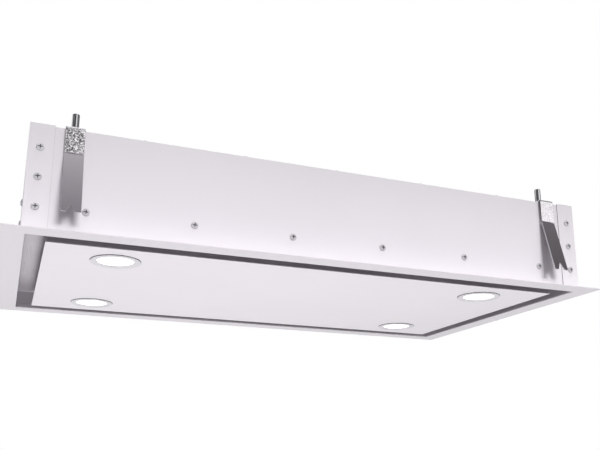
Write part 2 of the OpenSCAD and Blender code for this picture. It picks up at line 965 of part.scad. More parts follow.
module scroll_solid(inset, past, z0, z1) {
    translate([fan_x, fan_y, z0]) mirror([0, 1, 0]) linear_extrude(z1 - z0) polygon(scroll_points(inset, past));
}

// Spiral side wall and floor of the fan housing
module scroll_body() {
    color(zinc) difference() {
        scroll_solid(0, 0, scroll_z, cover_z);
        scroll_solid(scroll_t, cut, scroll_z + scroll_t, cover_z + cut);
        translate([fan_x, fan_y, 0]) post(bell_c + bell_play, scroll_z - cut, scroll_z + scroll_t + cut);
    }
}

module scroll_cover() {
    color(zinc) difference() {
        scroll_solid(0, 0, cover_z, cover_top);
        translate([fan_x, fan_y, 0]) post(bearing_r, cover_z - cut, cover_top + cut);
    }
}

// Bell mouth under the floor of the scroll
module inlet_ring() {
    c = [bell_c, bell_r + scroll_z - bell_t];
    outer = [for (i = [0 : bell_steps]) let (a = 180 + 90 * i / bell_steps) c + bell_r * [cos(a), sin(a)]];
    inner = [for (i = [bell_steps : -1 : 0]) let (a = 180 + 90 * i / bell_steps) c + (bell_r - bell_t) * [cos(a), sin(a)]];
    edge = [[bell_c + bell_flange, scroll_z - bell_t], [bell_c + bell_flange, scroll_z]];
    color(steel) translate([fan_x, fan_y, 0]) rotate_extrude() polygon(concat(outer, edge, inner));
}

// One side of a forward curved blade, which stays inside the edges of the disc and the ring
function blade_side(shift) = [for (i = [0 : blade_steps])
    let (
        k = i / blade_steps,
        r = impeller_r - blade_edge - (blade_band - 2 * blade_edge) * (1 - k),
        a = blade_lean * k * k + shift / r * 180 / PI
    )
    [r * cos(a), r * sin(a)]];

// Drum of blades between a disc at the top and a ring at the bottom
module impeller() {
    r_in = impeller_r - blade_band;
    color(dark) translate([fan_x, fan_y, 0]) {
        tube(impeller_r, rotor_r + hole_fit, disc_z, disc_z + disc_t);
        tube(impeller_r, r_in, impeller_z, impeller_z + impeller_ring_t);
        for (i = [0 : blades - 1]) {
            rotate([0, 0, i * 360 / blades]) translate([0, 0, impeller_z + impeller_ring_t / 2]) {
                linear_extrude(disc_z + disc_t / 2 - impeller_z - impeller_ring_t / 2) {
                    polygon(concat(blade_side(0), flipped(blade_side(blade_t))));
                }
            }
        }
    }
}

// Outer rotor of the motor, a cup whose lip carries the impeller
module motor_rotor() {
    color(steel) translate([fan_x, fan_y, 0]) {
        tube(rotor_r, rotor_r - rotor_t, rotor_z, rotor_top);
        tube(rotor_r + rotor_lip, rotor_r - rotor_t, rotor_top - disc_t, rotor_top);
        tube(rotor_r, shaft_r + bearing_fit, rotor_z, rotor_z + rotor_t);
    }
}

module motor_shaft() {
    color("#d0d0d4") translate([fan_x, fan_y, 0]) post(shaft_r, rotor_z - shaft_tail, cover_z - shaft_head);
}

// Wound core on a neck under the scroll cover
module motor_stator() {
    bore = bearing_r + bearing_fit;
    color("#7d5a3a") translate([fan_x, fan_y, 0]) {
        tube(stator_r, bore, stator_z, cover_z - neck_h);
        tube(neck_r, bore, cover_z - neck_h, cover_z);
    }
}

module motor_bearings() {
    color(steel) translate([fan_x, fan_y, 0]) {
        for (z = [stator_z + bearing_inset, cover_z - bearing_inset - bearing_h]) {
            tube(bearing_r, shaft_r + run_fit, z, z + bearing_h);
        }
    }
}

// Waisted rubber bushes between the scroll cover and the top plate
module fan_bushes() {
    color(black) translate([fan_x, fan_y, 0]) for (sx = sides, sy = sides) {
        translate([sx * bush_at, sy * bush_at, 0]) {
            post(bush_r, cover_top, cover_top + bush_cap);
            post(bush_r - bush_waist, cover_top, body_h);
            post(bush_r, body_h - bush_cap, body_h);
        }
    }
}

// Box that turns the air from the scroll up into the round collar
module outlet_elbow() {
    y0 = duct_y - elbow_l / 2;
    y1 = duct_y + elbow_l / 2;
    ya = fan_y + duct_in + scroll_t;
    yb = fan_y + scroll_end_r - scroll_t;
    e = [elbow_t, elbow_t, elbow_t];
    color(zinc) difference() {
        span([elbow_x, y0, scroll_z], [elbow_x + elbow_l, y1, body_h]);
        span([elbow_x, y0, scroll_z] + e, [elbow_x + elbow_l, y1, body_h] - e);
        span([elbow_x - cut, ya, scroll_z + scroll_t], [elbow_x + elbow_t + cut, yb, cover_z]);
        translate([outlet_x, duct_y, 0]) post(duct_bore_r, body_h - elbow_t - cut, body_h + cut);
    }
}

// Round collar for the duct, with a ledge that the damper flaps close on
module outlet_collar() {
    ledge = damper_z - flap_t / 2 - seat;
    color(zinc) translate([outlet_x, duct_y, 0]) difference() {
        union() {
            tube(duct_r, duct_bore_r, lid_top, body_h + duct_rise);
            tube(duct_r + collar_flange, duct_bore_r, lid_top, lid_top + collar_t);
            tube(duct_r, duct_bore_r - stop_w, ledge - stop_t, ledge);
        }
        translate([0, 0, damper_z]) rod_x(damper_pin_r + hole_fit, -duct_r - cut, duct_r + cut);
    }
}

module damper_pin() {
    color(steel) translate([outlet_x, duct_y, damper_z]) rod_x(damper_pin_r, -duct_r, duct_r);
}

// Half flap on the far side of the pin; its knuckles leave room for the other flap's
module flap() {
    own = [[-knuckle_out, -knuckle_mid - seat], [knuckle_in, knuckle_mid - seat]];
    edge = knuckle_r + flap_clear;
    difference() {
        union() {
            intersection() {
                post(flap_r, -flap_t / 2, flap_t / 2);
                span([-flap_r, edge, -flap_t], [flap_r, flap_r + cut, flap_t]);
            }
            for (k = own) {
                rod_x(knuckle_r, k[0], k[1]);
                span([k[0], 0, -flap_t / 2], [k[1], edge + cut, flap_t / 2]);
            }
        }
        rod_x(damper_pin_r + run_fit, -flap_r, flap_r);
    }
}

module damper_flap_rear() {
    color(steel) translate([outlet_x, duct_y, damper_z]) flap();
}

module damper_flap_front() {
    color(steel) translate([outlet_x, duct_y, damper_z]) rotate([0, 0, 180]) flap();
}

// Box for the electrics, open below, with posts for the board
module control_box() {
    roof = body_h - box_t;
    e = [box_t, box_t, 0];
    color(black) difference() {
        union() {
            difference() {
                span([box_x, box_y, box_z], [box_x + box_l, box_y + box_d, body_h]);
                span([box_x, box_y, box_z - cut] + e, [box_x + box_l, box_y + box_d, roof] - e);
            }
            at_board_posts() post(post_r, board_z + board_t, roof);
        }
        translate([gland_x, gland_y, 0]) post(gland_r + hole_fit, roof - cut, body_h + cut);
    }
}

module at_board_posts() {
    for (x = [post_inset, board_l - post_inset], y = [post_inset, board_d - post_inset]) {
        translate([box_x + box_t + board_inset + x, box_y + box_t + board_inset + y, 0]) children();
    }
}

module control_box_lid() {
    color(black) span([box_x, box_y, box_z - box_lid_t], [box_x + box_l, box_y + box_d, box_z]);
}

// Board with its larger components, held under the posts
module circuit_board() {
    // Each component: place along the board, place across it, length, depth and height, as shares of the board
    component_shares = [
        [0.08, 0.3, 0.3, 0.4, 0.25],
        [0.46, 0.55, 0.16, 0.3, 0.2],
        [0.68, 0.55, 0.16, 0.3, 0.2],
        [0.5, 0.12, 0.38, 0.22, 0.1]
    ];
    x0 = box_x + box_t + board_inset;
    y0 = box_y + box_t + board_inset;
    color("#2f6b3c") span([x0, y0, board_z], [x0 + board_l, y0 + board_d, board_z + board_t]);
    color(dark) for (c = component_shares) {
        translate([x0 + c[0] * board_l, y0 + c[1] * board_d, board_z - c[4] * board_l]) {
            cube([c[2] * board_l, c[3] * board_d, c[4] * board_l]);
        }
    }
}

// Row of clamping ways under the roof of the box
module terminal_block() {
    x0 = box_x + box_l - box_t - board_inset - terminal_l;
    y0 = box_y + box_t + board_inset;
    top = body_h - box_t;
    color("#d8d4c8") difference() {
        span([x0, y0, top - terminal_h], [x0 + terminal_l, y0 + terminal_d, top]);
        for (i = [0 : terminal_ways - 1]) {
            translate([x0 + (i + 0.5) * terminal_l / terminal_ways, y0 + terminal_d / 2, 0]) {
                post(terminal_hole_r, top - terminal_h - cut, top - terminal_h / 2);
            }
        }
    }
}

module motor_capacitor() {
    x0 = box_x + box_t + board_inset;
    color("#dcdcdc") {
        translate([x0, box_y + box_d - box_t - board_inset - cap_r, body_h - box_t - seat - cap_r]) rod_x(cap_r, 0, cap_l);
    }
}

// Gland through the lid and the box, clamped by a nut from below
module cable_gland() {
    nut_top = body_h - box_t;
    hex_top = lid_top + gland_hex_h;
    color(black) translate([gland_x, gland_y, 0]) difference() {
        union() {
            translate([0, 0, nut_top - gland_nut_h]) cylinder(r = gland_hex_r, h = gland_nut_h, $fn = 6);
            post(gland_r, nut_top - gland_nut_h, lid_top);
            translate([0, 0, lid_top]) cylinder(r = gland_hex_r, h = gland_hex_h, $fn = 6);
            post(gland_dome_r, hex_top, hex_top + gland_dome_h);
        }
        post(gland_bore_r, nut_top - gland_nut_h - cut, hex_top + gland_dome_h + cut);
    }
}

// Screws of one long wall: the end strips on the returns and the row along the bottom
module front_screws() {
    translate([0, -wall_face, 0]) {
        for (x = row_xs()) translate([x, 0, low_screw_z]) rotate([90, 0, 0]) pan_screw(wall_shank, head_h);
        for (s = sides, z = strip_zs()) {
            translate([s * strip_x, -wall_t, z]) rotate([90, 0, 0]) pan_screw(wall_shank, head_h);
        }
    }
}

module long_wall_screws() {
    color(zinc) {
        front_screws();
        mirror([0, 1, 0]) front_screws();
    }
}

module end_wall_screws() {
    color(zinc) for (m = [0, 1]) mirror([m, 0, 0]) {
        for (y = end_ys()) {
            translate([-body_l / 2, y, end_screw_z]) rotate([0, -90, 0]) pan_screw(wall_shank, head_h);
        }
    }
}

module top_plate_screws() {
    color(zinc) for (s = sides, x = top_xs()) {
        translate([x, s * (wall_face - fold_w / 2), lid_top]) pan_screw(wall_shank, top_head_h);
    }
}

flange_frame();
front_wall();
rear_wall();
left_end_cap();
right_end_cap();
top_plate();
channel_liner();
filter_deck();
filter_frame_left();
filter_frame_right();
filter_mesh_left();
filter_mesh_right();
filter_latch_left();
filter_latch_right();
panel_face();
panel_tray();
lamp_bezels();
lamp_lenses();
lamp_housings();
hinge_brackets();
hinge_ears();
hinge_pins();
catch_magnets();
catch_strikes();
clip_front_left();
clip_front_right();
clip_rear_left();
clip_rear_right();
tongue_front_left();
tongue_front_right();
tongue_rear_left();
tongue_rear_right();
hanger_angles();
hanger_studs();
hanger_nuts();
scroll_body();
scroll_cover();
inlet_ring();
impeller();
motor_rotor();
motor_shaft();
motor_stator();
motor_bearings();
fan_bushes();
outlet_elbow();
outlet_collar();
damper_pin();
damper_flap_rear();
damper_flap_front();
control_box();
control_box_lid();
circuit_board();
terminal_block();
motor_capacitor();
cable_gland();
long_wall_screws();
end_wall_screws();
top_plate_screws();
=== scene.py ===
# %% [markdown]
# # Ceiling range hood
# A ceiling hood is a shallow sheet metal box that goes up through a hole in the ceiling.
# What people see later is a white rim and a white panel with a dark slot all round it.
# This lesson dresses a finished CAD model. Pieces stand where the boxes of the CAD pieces are, and
# nearly all their sizes are the CAD's too. Blender counts in metres, so names in capitals hold
# millimetres and degrees where nothing else is said, and MM turns millimetres into metres.

# %% Tools and the frame
import json
import math

import bpy
from mathutils import Matrix, Vector


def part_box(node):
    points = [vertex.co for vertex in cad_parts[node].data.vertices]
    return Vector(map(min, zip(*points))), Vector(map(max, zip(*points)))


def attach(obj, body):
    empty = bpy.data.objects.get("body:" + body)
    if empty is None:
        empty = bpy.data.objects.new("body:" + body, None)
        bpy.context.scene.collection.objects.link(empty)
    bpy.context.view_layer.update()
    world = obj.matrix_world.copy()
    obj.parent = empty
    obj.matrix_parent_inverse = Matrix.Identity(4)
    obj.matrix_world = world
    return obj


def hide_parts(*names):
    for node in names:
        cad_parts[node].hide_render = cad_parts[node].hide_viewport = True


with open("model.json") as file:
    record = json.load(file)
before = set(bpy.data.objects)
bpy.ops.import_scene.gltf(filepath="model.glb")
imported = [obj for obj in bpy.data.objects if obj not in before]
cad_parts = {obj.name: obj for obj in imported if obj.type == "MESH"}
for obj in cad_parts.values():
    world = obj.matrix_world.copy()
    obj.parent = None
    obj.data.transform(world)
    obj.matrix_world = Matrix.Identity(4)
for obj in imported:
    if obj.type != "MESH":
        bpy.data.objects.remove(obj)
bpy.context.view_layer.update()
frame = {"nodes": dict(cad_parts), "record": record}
MM = 0.001
# Places less than a hair apart count as the same.
HAIR = 0.1 * MM
print("CAD pieces:", len(frame["nodes"]))

# %% [markdown]
# ## Camera
# The photograph is taken from below and from the left, with upright lines that stay upright.
# A camera that looks level and shifts its sensor does that, as an architect's camera does.
# A large shift would push the hood out of other views, so most of it is swapped for a small tilt.

# %% Camera
PHOTO_WIDTH = 600
FOCAL_PIXELS = 751.1
SHIFT = 0.1
TILT_UP, ROLL, TURN = 13.81, -0.04, -21.48
scene = bpy.context.scene
camera_data = bpy.data.cameras.new("camera")
camera_data.sensor_width = 36
camera_data.lens = FOCAL_PIXELS * camera_data.sensor_width / PHOTO_WIDTH
camera_data.shift_y = SHIFT
camera = bpy.data.objects.new("camera", camera_data)
camera.location = (-0.4275, -1.1725, -0.2806)
camera.rotation_euler = [math.radians(angle) for angle in (90 + TILT_UP, ROLL, TURN)]
scene.collection.objects.link(camera)
scene.camera = camera
scene.view_settings.view_transform = "Standard"
print("lens", round(camera_data.lens, 2), "mm")

# %% [markdown]
# ## Helpers for modelling
# An operator acts on all that is selected, so each step first clears the selection.
# Faces and edges are then chosen in code by where they are, as a click would choose them.

# %% Selecting and editing
# Points less than MERGE_WITHIN metres apart become one.
MERGE_WITHIN = 1e-6
# Faces that meet at less than SMOOTH_BELOW are shaded as one curve.
SMOOTH_BELOW = 35.0


def alone(*objects):
    """Selects these objects and nothing else, and makes the first one active."""
    if bpy.context.object and bpy.context.object.mode != "OBJECT":
        bpy.ops.object.mode_set(mode="OBJECT")
    bpy.ops.object.select_all(action="DESELECT")
    for thing in objects:
        thing.select_set(True)
    bpy.context.view_layer.objects.active = objects[0]


def open_all(piece):
    """Opens a piece in edit mode with all of it selected."""
    alone(piece)
    bpy.ops.object.mode_set(mode="EDIT")
    bpy.ops.mesh.select_all(action="SELECT")


def choose(piece, kind, test):
    """Opens a piece in edit mode with the vertices, edges or faces selected that pass the test."""
    alone(piece)
    bpy.ops.object.mode_set(mode="EDIT")
    bpy.ops.mesh.select_mode(type=kind)
    bpy.ops.mesh.select_all(action="DESELECT")
    bpy.ops.object.mode_set(mode="OBJECT")
    mesh = piece.data
    if kind == "VERT":
        for vertex in mesh.vertices:
            vertex.select = bool(test(vertex.co))
    elif kind == "EDGE":
        for edge in mesh.edges:
            edge.select = bool(test(*(mesh.vertices[i].co for i in edge.vertices)))
    else:
        for face in mesh.polygons:
            face.select = bool(test(face.center, face.normal))
    bpy.ops.object.mode_set(mode="EDIT")


def close():
    """Leaves edit mode."""
    bpy.ops.object.mode_set(mode="OBJECT")


def modify(piece, kind, **settings):
    """Adds a modifier and applies it."""
    alone(piece)
    modifier = piece.modifiers.new(kind.lower(), kind)
    for key, value in settings.items():
        setattr(modifier, key, value)
    bpy.ops.object.modifier_apply(modifier=modifier.name)


def settle(piece):
    """Puts the place into the mesh, makes the faces point outwards and shades the curves smooth."""
    alone(piece)
    bpy.ops.object.transform_apply(location=True, rotation=True, scale=True)
    open_all(piece)
    bpy.ops.mesh.remove_doubles(threshold=MERGE_WITHIN)
    bpy.ops.mesh.normals_make_consistent(inside=False)
    close()
    bpy.ops.object.shade_smooth_by_angle(angle=math.radians(SMOOTH_BELOW))
    modify(piece, "WEIGHTED_NORMAL", keep_sharp=True)


# %% [markdown]
# ## Copying, joining and turning
# What repeats on a hood, such as a screw, is modelled once and then copied. Linked copies would be
# lighter, but each copy here gets its own mesh and is moved inside it, so that a joined piece
# sits at the origin like the CAD pieces. Round parts are outlines spun about an axis.

# %% Copying, joining and turning
def copy_to(piece, matrix):
    """A copy with its own mesh, moved by a matrix."""
    mesh = piece.data.copy()
    mesh.transform(matrix)
    if matrix.determinant() < 0:
        mesh.flip_normals()
    twin = bpy.data.objects.new(piece.name, mesh)
    scene.collection.objects.link(twin)
    return twin


def join(name, pieces):
    """Joins copies into one piece."""
    alone(*pieces)
    if len(pieces) > 1:
        bpy.ops.object.join()
    pieces[0].name = name
    pieces[0].data.name = name
    return pieces[0]


def slab(low, high):
    """A block between two corners, for cutting with."""
    low, high = Vector(low), Vector(high)
    bpy.ops.mesh.primitive_cube_add(size=1, location=(low + high) / 2)
    bpy.context.object.scale = high - low
    bpy.ops.object.transform_apply(location=True, rotation=True, scale=True)
    return bpy.context.object


def carve(piece, cutter):
    """Cuts one piece out of another, and throws the cutter away."""
    modify(piece, "BOOLEAN", object=cutter, operation="DIFFERENCE", solver="EXACT")
    bpy.data.objects.remove(cutter)


def turned(name, profile, steps):
    """Turns an outline about the Z axis, as a lathe does. The outline is (radius, height) in mm."""
    mesh = bpy.data.meshes.new(name)
    points = [(radius * MM, 0, height * MM) for radius, height in profile]
    mesh.from_pydata(points, [(i, i + 1) for i in range(len(points) - 1)], [])
    piece = bpy.data.objects.new(name, mesh)
    scene.collection.objects.link(piece)
    open_all(piece)
    bpy.ops.mesh.spin(steps=steps, angle=math.tau, center=(0, 0, 0), axis=(0, 0, 1))
    close()
    # A spin makes its faces in another order on each run, so they are put in a fixed one.
    points = [point.co.copy() for point in mesh.vertices]
    faces = sorted(tuple(face.vertices) for face in mesh.polygons)
    mesh.clear_geometry()
    mesh.from_pydata(points, [], faces)
    settle(piece)
    return piece


# %% [markdown]
# ## Working on copies of CAD pieces
# A CAD piece arrives as loose triangles of the right shape. Folded sheet could be modelled anew,
# but a copy whose triangles are merged back into flat faces is exact, and only needs soft edges.

# %% Working on copies of CAD pieces
FLAT_WITHIN = 0.5
SHARP_ABOVE = 30


def copy_of(node, name):
    """A copy of a CAD piece with its flat faces merged. The CAD piece itself stays as it is."""
    source = frame["nodes"][node]
    piece = bpy.data.objects.new(name, source.data.copy())
    piece.data.transform(source.matrix_world)
    scene.collection.objects.link(piece)
    alone(piece)
    bpy.ops.mesh.customdata_custom_splitnormals_clear()
    open_all(piece)
    bpy.ops.mesh.remove_doubles(threshold=MERGE_WITHIN)
    bpy.ops.mesh.normals_make_consistent(inside=False)
    bpy.ops.mesh.dissolve_limited(angle_limit=math.radians(FLAT_WITHIN))
    close()
    return piece


def soften(node, name, width, segments=2, where=None):
    """A copy of a CAD piece, its sharp edges rounded by width mm. where can pick some of them."""
    piece = copy_of(node, name)
    bpy.ops.object.mode_set(mode="EDIT")
    bpy.ops.mesh.select_mode(type="EDGE")
    bpy.ops.mesh.select_all(action="DESELECT")
    bpy.ops.mesh.edges_select_sharp(sharpness=math.radians(SHARP_ABOVE))
    close()
    points = piece.data.vertices
    sharp = set()
    for edge in piece.data.edges:
        if edge.select and (where is None or where(*(points[i].co for i in edge.vertices))):
            sharp.add(frozenset(edge.vertices))
    bpy.ops.object.mode_set(mode="EDIT")
    bpy.ops.mesh.select_all(action="DESELECT")
    close()
    for edge in piece.data.edges:
        edge.select = frozenset(edge.vertices) in sharp
    bpy.ops.object.mode_set(mode="EDIT")
    bpy.ops.mesh.bevel(offset=width * MM, segments=segments, affect="EDGES", clamp_overlap=False)
    close()
    settle(piece)
    return piece


def lumps(node):
    """The boxes of the separate lumps in one CAD piece, such as each screw of a row, in order."""
    open_all(copy_of(node, "lumps"))
    bpy.ops.mesh.separate(type="LOOSE")
    close()
    boxes = []
    for lump in list(bpy.context.selected_objects):
        corners = [vertex.co.copy() for vertex in lump.data.vertices]
        boxes.append((Vector(map(min, zip(*corners))), Vector(map(max, zip(*corners)))))
        bpy.data.objects.remove(lump)
    return sorted(boxes, key=lambda box: tuple(round(c, 4) for c in box[0]))


def dress(piece, body, slot, *nodes, painted=False):
    """Gives a piece its body and its finish, and hides the CAD pieces that it stands for."""
    if not painted:
        # Clearing also forgets which faces have a second finish, so an empty list isn't cleared.
        if len(piece.data.materials):
            piece.data.materials.clear()
        piece.data.materials.append(FINISHES[slot])
    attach(piece, body)
    if nodes:
        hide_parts(*nodes)
    print(piece.name, len(piece.data.polygons), "faces")
    return piece


# %% [markdown]
# ## Helpers for materials
# Shader maths reads best as an expression, so a small class wraps a socket of a node.
# Adding, multiplying and comparing such values then adds Math nodes by itself.

# %% Values
def srgb(code):
    """A colour written as #rrggbb, in the linear numbers that a shader wants."""
    parts = [int(code[i:i + 2], 16) / 255 for i in (1, 3, 5)]
    linear = [p / 12.92 if p <= 0.04045 else ((p + 0.055) / 1.055) ** 2.4 for p in parts]
    return (*linear, 1.0)


class Value:
    """A socket that can be used in sums."""

    def __init__(self, nodes, socket):
        self.nodes = nodes
        self.socket = socket

    def math(self, operation, *others):
        return self.nodes.maths(operation, self, *others)

    def __add__(self, other):
        return self.math("ADD", other)

    def __mul__(self, other):
        return self.math("MULTIPLY", other)

    def __sub__(self, other):
        return self.math("SUBTRACT", other)

    def __rsub__(self, other):
        return self.nodes.maths("SUBTRACT", other, self)

    def __gt__(self, other):
        return self.math("GREATER_THAN", other)

    def __lt__(self, other):
        return self.math("LESS_THAN", other)

    def __abs__(self):
        return self.math("ABSOLUTE")

    __radd__ = __add__
    __rmul__ = __mul__


# %% [markdown]
# ## A class for finishes
# A finish is a material and its nodes, which could be wired one by one. Nearly every finish of a
# hood is noise, a blend of two tones and a bump, so one class holds those steps.
# The part that only adds nodes stands apart, because the world needs it too.

# %% Finishes
class Nodes:
    """The nodes of a material or of the world."""

    def __init__(self, tree, output):
        self.tree = tree
        self.output = tree.nodes[output]

    def node(self, kind, settings=None, values=None, out=0):
        """Adds a node: its settings first, then the values or links of its sockets."""
        node = self.tree.nodes.new(kind)
        for key, value in (settings or {}).items():
            setattr(node, key, value)
        for key, value in (values or {}).items():
            if isinstance(value, Value):
                self.tree.links.new(value.socket, node.inputs[key])
            else:
                node.inputs[key].default_value = value
        return Value(self, node.outputs[out])

    def maths(self, operation, *values):
        """Adds a Math node."""
        return self.node("ShaderNodeMath", {"operation": operation}, dict(enumerate(values)))

    def vectors(self, operation, *values):
        """Adds a Vector Math node."""
        return self.node("ShaderNodeVectorMath", {"operation": operation}, dict(enumerate(values)))

    def show(self, shader):
        """Links a shader to the output."""
        self.tree.links.new(shader.socket, self.output.inputs[0])


class Finish(Nodes):
    """A node material. Numbers that are the same all over go on the shader itself."""

    NOISE_LOW, NOISE_HIGH = 0.3, 0.7

    def __init__(self, name, **shader):
        self.material = bpy.data.materials.new(name)
        self.material.use_nodes = True
        super().__init__(self.material.node_tree, "Material Output")
        self.shader = self.tree.nodes["Principled BSDF"]
        self.place = self.node("ShaderNodeTexCoord", out="Object")
        for key, value in shader.items():
            self.shader.inputs[key.replace("_", " ")].default_value = value

    def axis(self, which):
        """One coordinate of the place on the piece, in metres."""
        return self.node("ShaderNodeSeparateXYZ", None, {0: self.place}, out=which)

    def stretched(self, x, y, z):
        """The place, scaled along each axis, which turns noise into streaks."""
        return self.node("ShaderNodeMapping", None, {"Vector": self.place, "Scale": (x, y, z)})

    def noise(self, where, scale, detail, out=0):
        """Soft noise from 0 to 1, mostly near a half. Its second output is a colour."""
        values = {"Vector": where, "Scale": scale, "Detail": detail}
        return self.node("ShaderNodeTexNoise", None, values, out=out)

    def between(self, share, low, high):
        """Stretches the middle of a noise to run from low to high."""
        values = {0: share, 1: self.NOISE_LOW, 2: self.NOISE_HIGH, 3: low, 4: high}
        return self.node("ShaderNodeMapRange", {"clamp": True}, values)

    def fade(self, value, start, end):
        """Runs from 0 to 1 as a value goes from start to end."""
        return self.node("ShaderNodeMapRange", None, {0: value, 1: start, 2: end})

    def mix(self, share, first, second):
        """Blends two colours."""
        colours = {0: share, 6: first, 7: second}
        return self.node("ShaderNodeMix", {"data_type": "RGBA"}, colours, out=2)

    def feed(self, **sockets):
        """Links values to the shader."""
        for key, value in sockets.items():
            self.tree.links.new(value.socket, self.shader.inputs[key.replace("_", " ")])

    def bump(self, height, distance, strength):
        """Raises the surface by a height times a distance in metres."""
        values = {"Strength": strength, "Distance": distance, "Height": height}
        self.feed(Normal=self.node("ShaderNodeBump", None, values))


# %% [markdown]
# ## White paint
# The rim, walls and panel are powder coated steel, baked to a satin skin with a fine orange peel.
# One flat white would look like plastic. Here two near whites drift into each other over a hand's
# width, and tiny noise lifts the skin. The tops of the walls look greyer in the photograph, so
# painted shade darkens the white more and more with height. The rim gets a slightly darker copy
# of the same paint, which is painted shade too.

# %% White paint
CLOUD_GRAINS, PEEL_GRAINS = 6, 700
CLOUD_SHARE = 0.2
PEEL_DEPTH = 0.05
# Heights in metres where the painted shade is full and where it has gone.
PAINTED_SHADE_AT, UNSHADED_AT = 0.15, 0.02
FINISHES = {}


def keep(slot, finish):
    """Puts a finish on the shelf under its slot's name."""
    FINISHES[slot] = finish.material
    print("finish", slot)


def white_paint(name, dark, light):
    """Powder paint. Grains are counted in a metre, and heights are in metres."""
    paint = Finish(name, Specular_IOR_Level=0.9)
    cloud = paint.noise(paint.place, CLOUD_GRAINS, 2)
    peel = paint.noise(paint.place, PEEL_GRAINS, 3)
    # Painted shade: the white turns greyer towards the top of the walls.
    height = paint.fade(paint.axis(2), PAINTED_SHADE_AT, UNSHADED_AT)
    pale = cloud * CLOUD_SHARE + height * (1 - CLOUD_SHARE)
    paint.feed(Base_Color=paint.mix(pale, srgb(dark), srgb(light)))
    paint.feed(Roughness=paint.between(peel, 0.32, 0.4))
    paint.bump(peel, PEEL_DEPTH * MM, 0.3)
    return paint


keep("white_paint", white_paint("white_paint", "#cdc9ce", "#ebe6ec"))
# A darker copy of the same white, for the rim: painted shade.
keep("shaded_rim_paint", white_paint("shaded_rim_paint", "#d3ced4", "#dcd7dd"))

# %% [markdown]
# ## Zinc
# Hot dipped zinc freezes into crystals a few millimetres wide, and each one shines its own way.
# A photo texture could show them, but a Voronoi pattern does so at any size: it has one random
# colour in each cell, which sets tone, gloss and lean. A little noise frays the cells' borders.

# %% Zinc
FRAY_GRAINS, FRAY_REACH = 2200, 0.9


def zinc(name, dark, light, patch, tilt, low=0.2, high=0.42):
    """Galvanised sheet. patch is the width of a crystal in mm, and tilt how far crystals lean."""
    metal = Finish(name, Metallic=1.0)
    fray = metal.noise(metal.place, FRAY_GRAINS / patch, 2, out=1)
    frayed = metal.vectors("MULTIPLY_ADD", fray, (patch * FRAY_REACH * MM,) * 3, metal.place)
    cells = {"Vector": frayed, "Scale": 1 / (patch * MM)}
    crystal = metal.node("ShaderNodeTexVoronoi", None, cells, out=1)
    tone = metal.node("ShaderNodeSeparateColor", None, {0: crystal}, out=0)
    gloss = metal.node("ShaderNodeSeparateColor", None, {0: crystal}, out=1)
    metal.feed(Base_Color=metal.mix(tone, srgb(dark), srgb(light)))
    metal.feed(Roughness=gloss * (high - low) + low)
    lean = metal.vectors("SUBTRACT", crystal, (0.5, 0.5, 0.5))
    facing = metal.node("ShaderNodeNewGeometry", out="Normal")
    leaning = metal.vectors("MULTIPLY_ADD", lean, (tilt,) * 3, facing)
    metal.feed(Normal=metal.vectors("NORMALIZE", leaning))
    return metal


keep("galvanised", zinc("galvanised", "#b4b5b9", "#d3d4d7", 5.0, 0.16))
keep("clip_zinc", zinc("clip_zinc", "#ebe7ec", "#fdfafe", 1.5, 0.13, 0.1, 0.26))
keep("damper_sheet", zinc("damper_sheet", "#a6a7ab", "#c6c7ca", 7.0, 0.12))

# %% [markdown]
# ## Rolled and brushed metal
# Stainless sheet is brushed with a belt, so its scratches run along the strip it was cut from.
# They could be painted on, but noise that is squeezed on two axes and left long on the third gives
# such streaks without a seam.
# The channel and the tray are strips mitred at the corners, where the streaks turn with them.
# The tongues mirror the pale wall more and more towards the top, so a painted reflection makes
# their steel lighter there.

# %% Rolled and brushed metal
# Streaks in a metre along each axis, which are few along the grain.
LANES = {"x": (9, 1300, 1300), "y": (1300, 9, 1300), "z": (1300, 1300, 14)}
STAIN_GRAINS, STAIN_SHARE = 12, 0.3
STREAK_DEPTH = 0.02
# How much of the steel's tone the painted reflection sets.
PAINTED_REFLECTION_SHARE = 0.8


def brushed(name, dark, light, low, high, corner=None, grain="x", metallic=1.0, rise=None):
    """Metal with streaks along its grain. Both corner and rise are in mm.

    corner is where two strips meet at a mitre, and rise is where a painted reflection
    turns dark steel light.
    """
    metal = Finish(name, Metallic=metallic)
    streak = metal.noise(metal.stretched(*LANES[grain]), 1.0, 3)
    if corner:
        across = metal.noise(metal.stretched(*LANES["y"]), 1.0, 3)
        at_end = (abs(metal.axis(0)) - corner[0] * MM) > (abs(metal.axis(1)) - corner[1] * MM)
        streak = streak + (across - streak) * at_end
    stain = metal.noise(metal.place, STAIN_GRAINS, 2)
    shade = metal.between(streak * (1 - STAIN_SHARE) + stain * STAIN_SHARE, 0.0, 1.0)
    # Painted reflection: the steel grows lighter with height.
    if rise:
        height = metal.fade(metal.axis(2), rise[0] * MM, rise[1] * MM)
        shade = shade * (1 - PAINTED_REFLECTION_SHARE) + height * PAINTED_REFLECTION_SHARE
    metal.feed(Base_Color=metal.mix(shade, srgb(dark), srgb(light)))
    metal.feed(Roughness=metal.between(streak, low, high))
    metal.bump(streak, STREAK_DEPTH * MM, 0.3)
    return metal


keep("stainless", brushed("stainless", "#aba5ac", "#c8c3c9", 0.26, 0.4, (420, 230), metallic=0.45))
# The tongues get a painted reflection of the wall, lighter towards the top.
keep("spring_steel",
     brushed("spring_steel", "#9d979f", "#c4bec5", 0.28, 0.34, grain="z", rise=(25, 110)))
keep("bright_steel", brushed("bright_steel", "#c9c9cc", "#e4e4e7", 0.08, 0.18, grain="z"))
keep("filter_aluminium", brushed("filter_aluminium", "#b9babd", "#d7d8da", 0.3, 0.44))
keep("rotor_steel", brushed("rotor_steel", "#77787b", "#98999c", 0.3, 0.45, grain="z"))

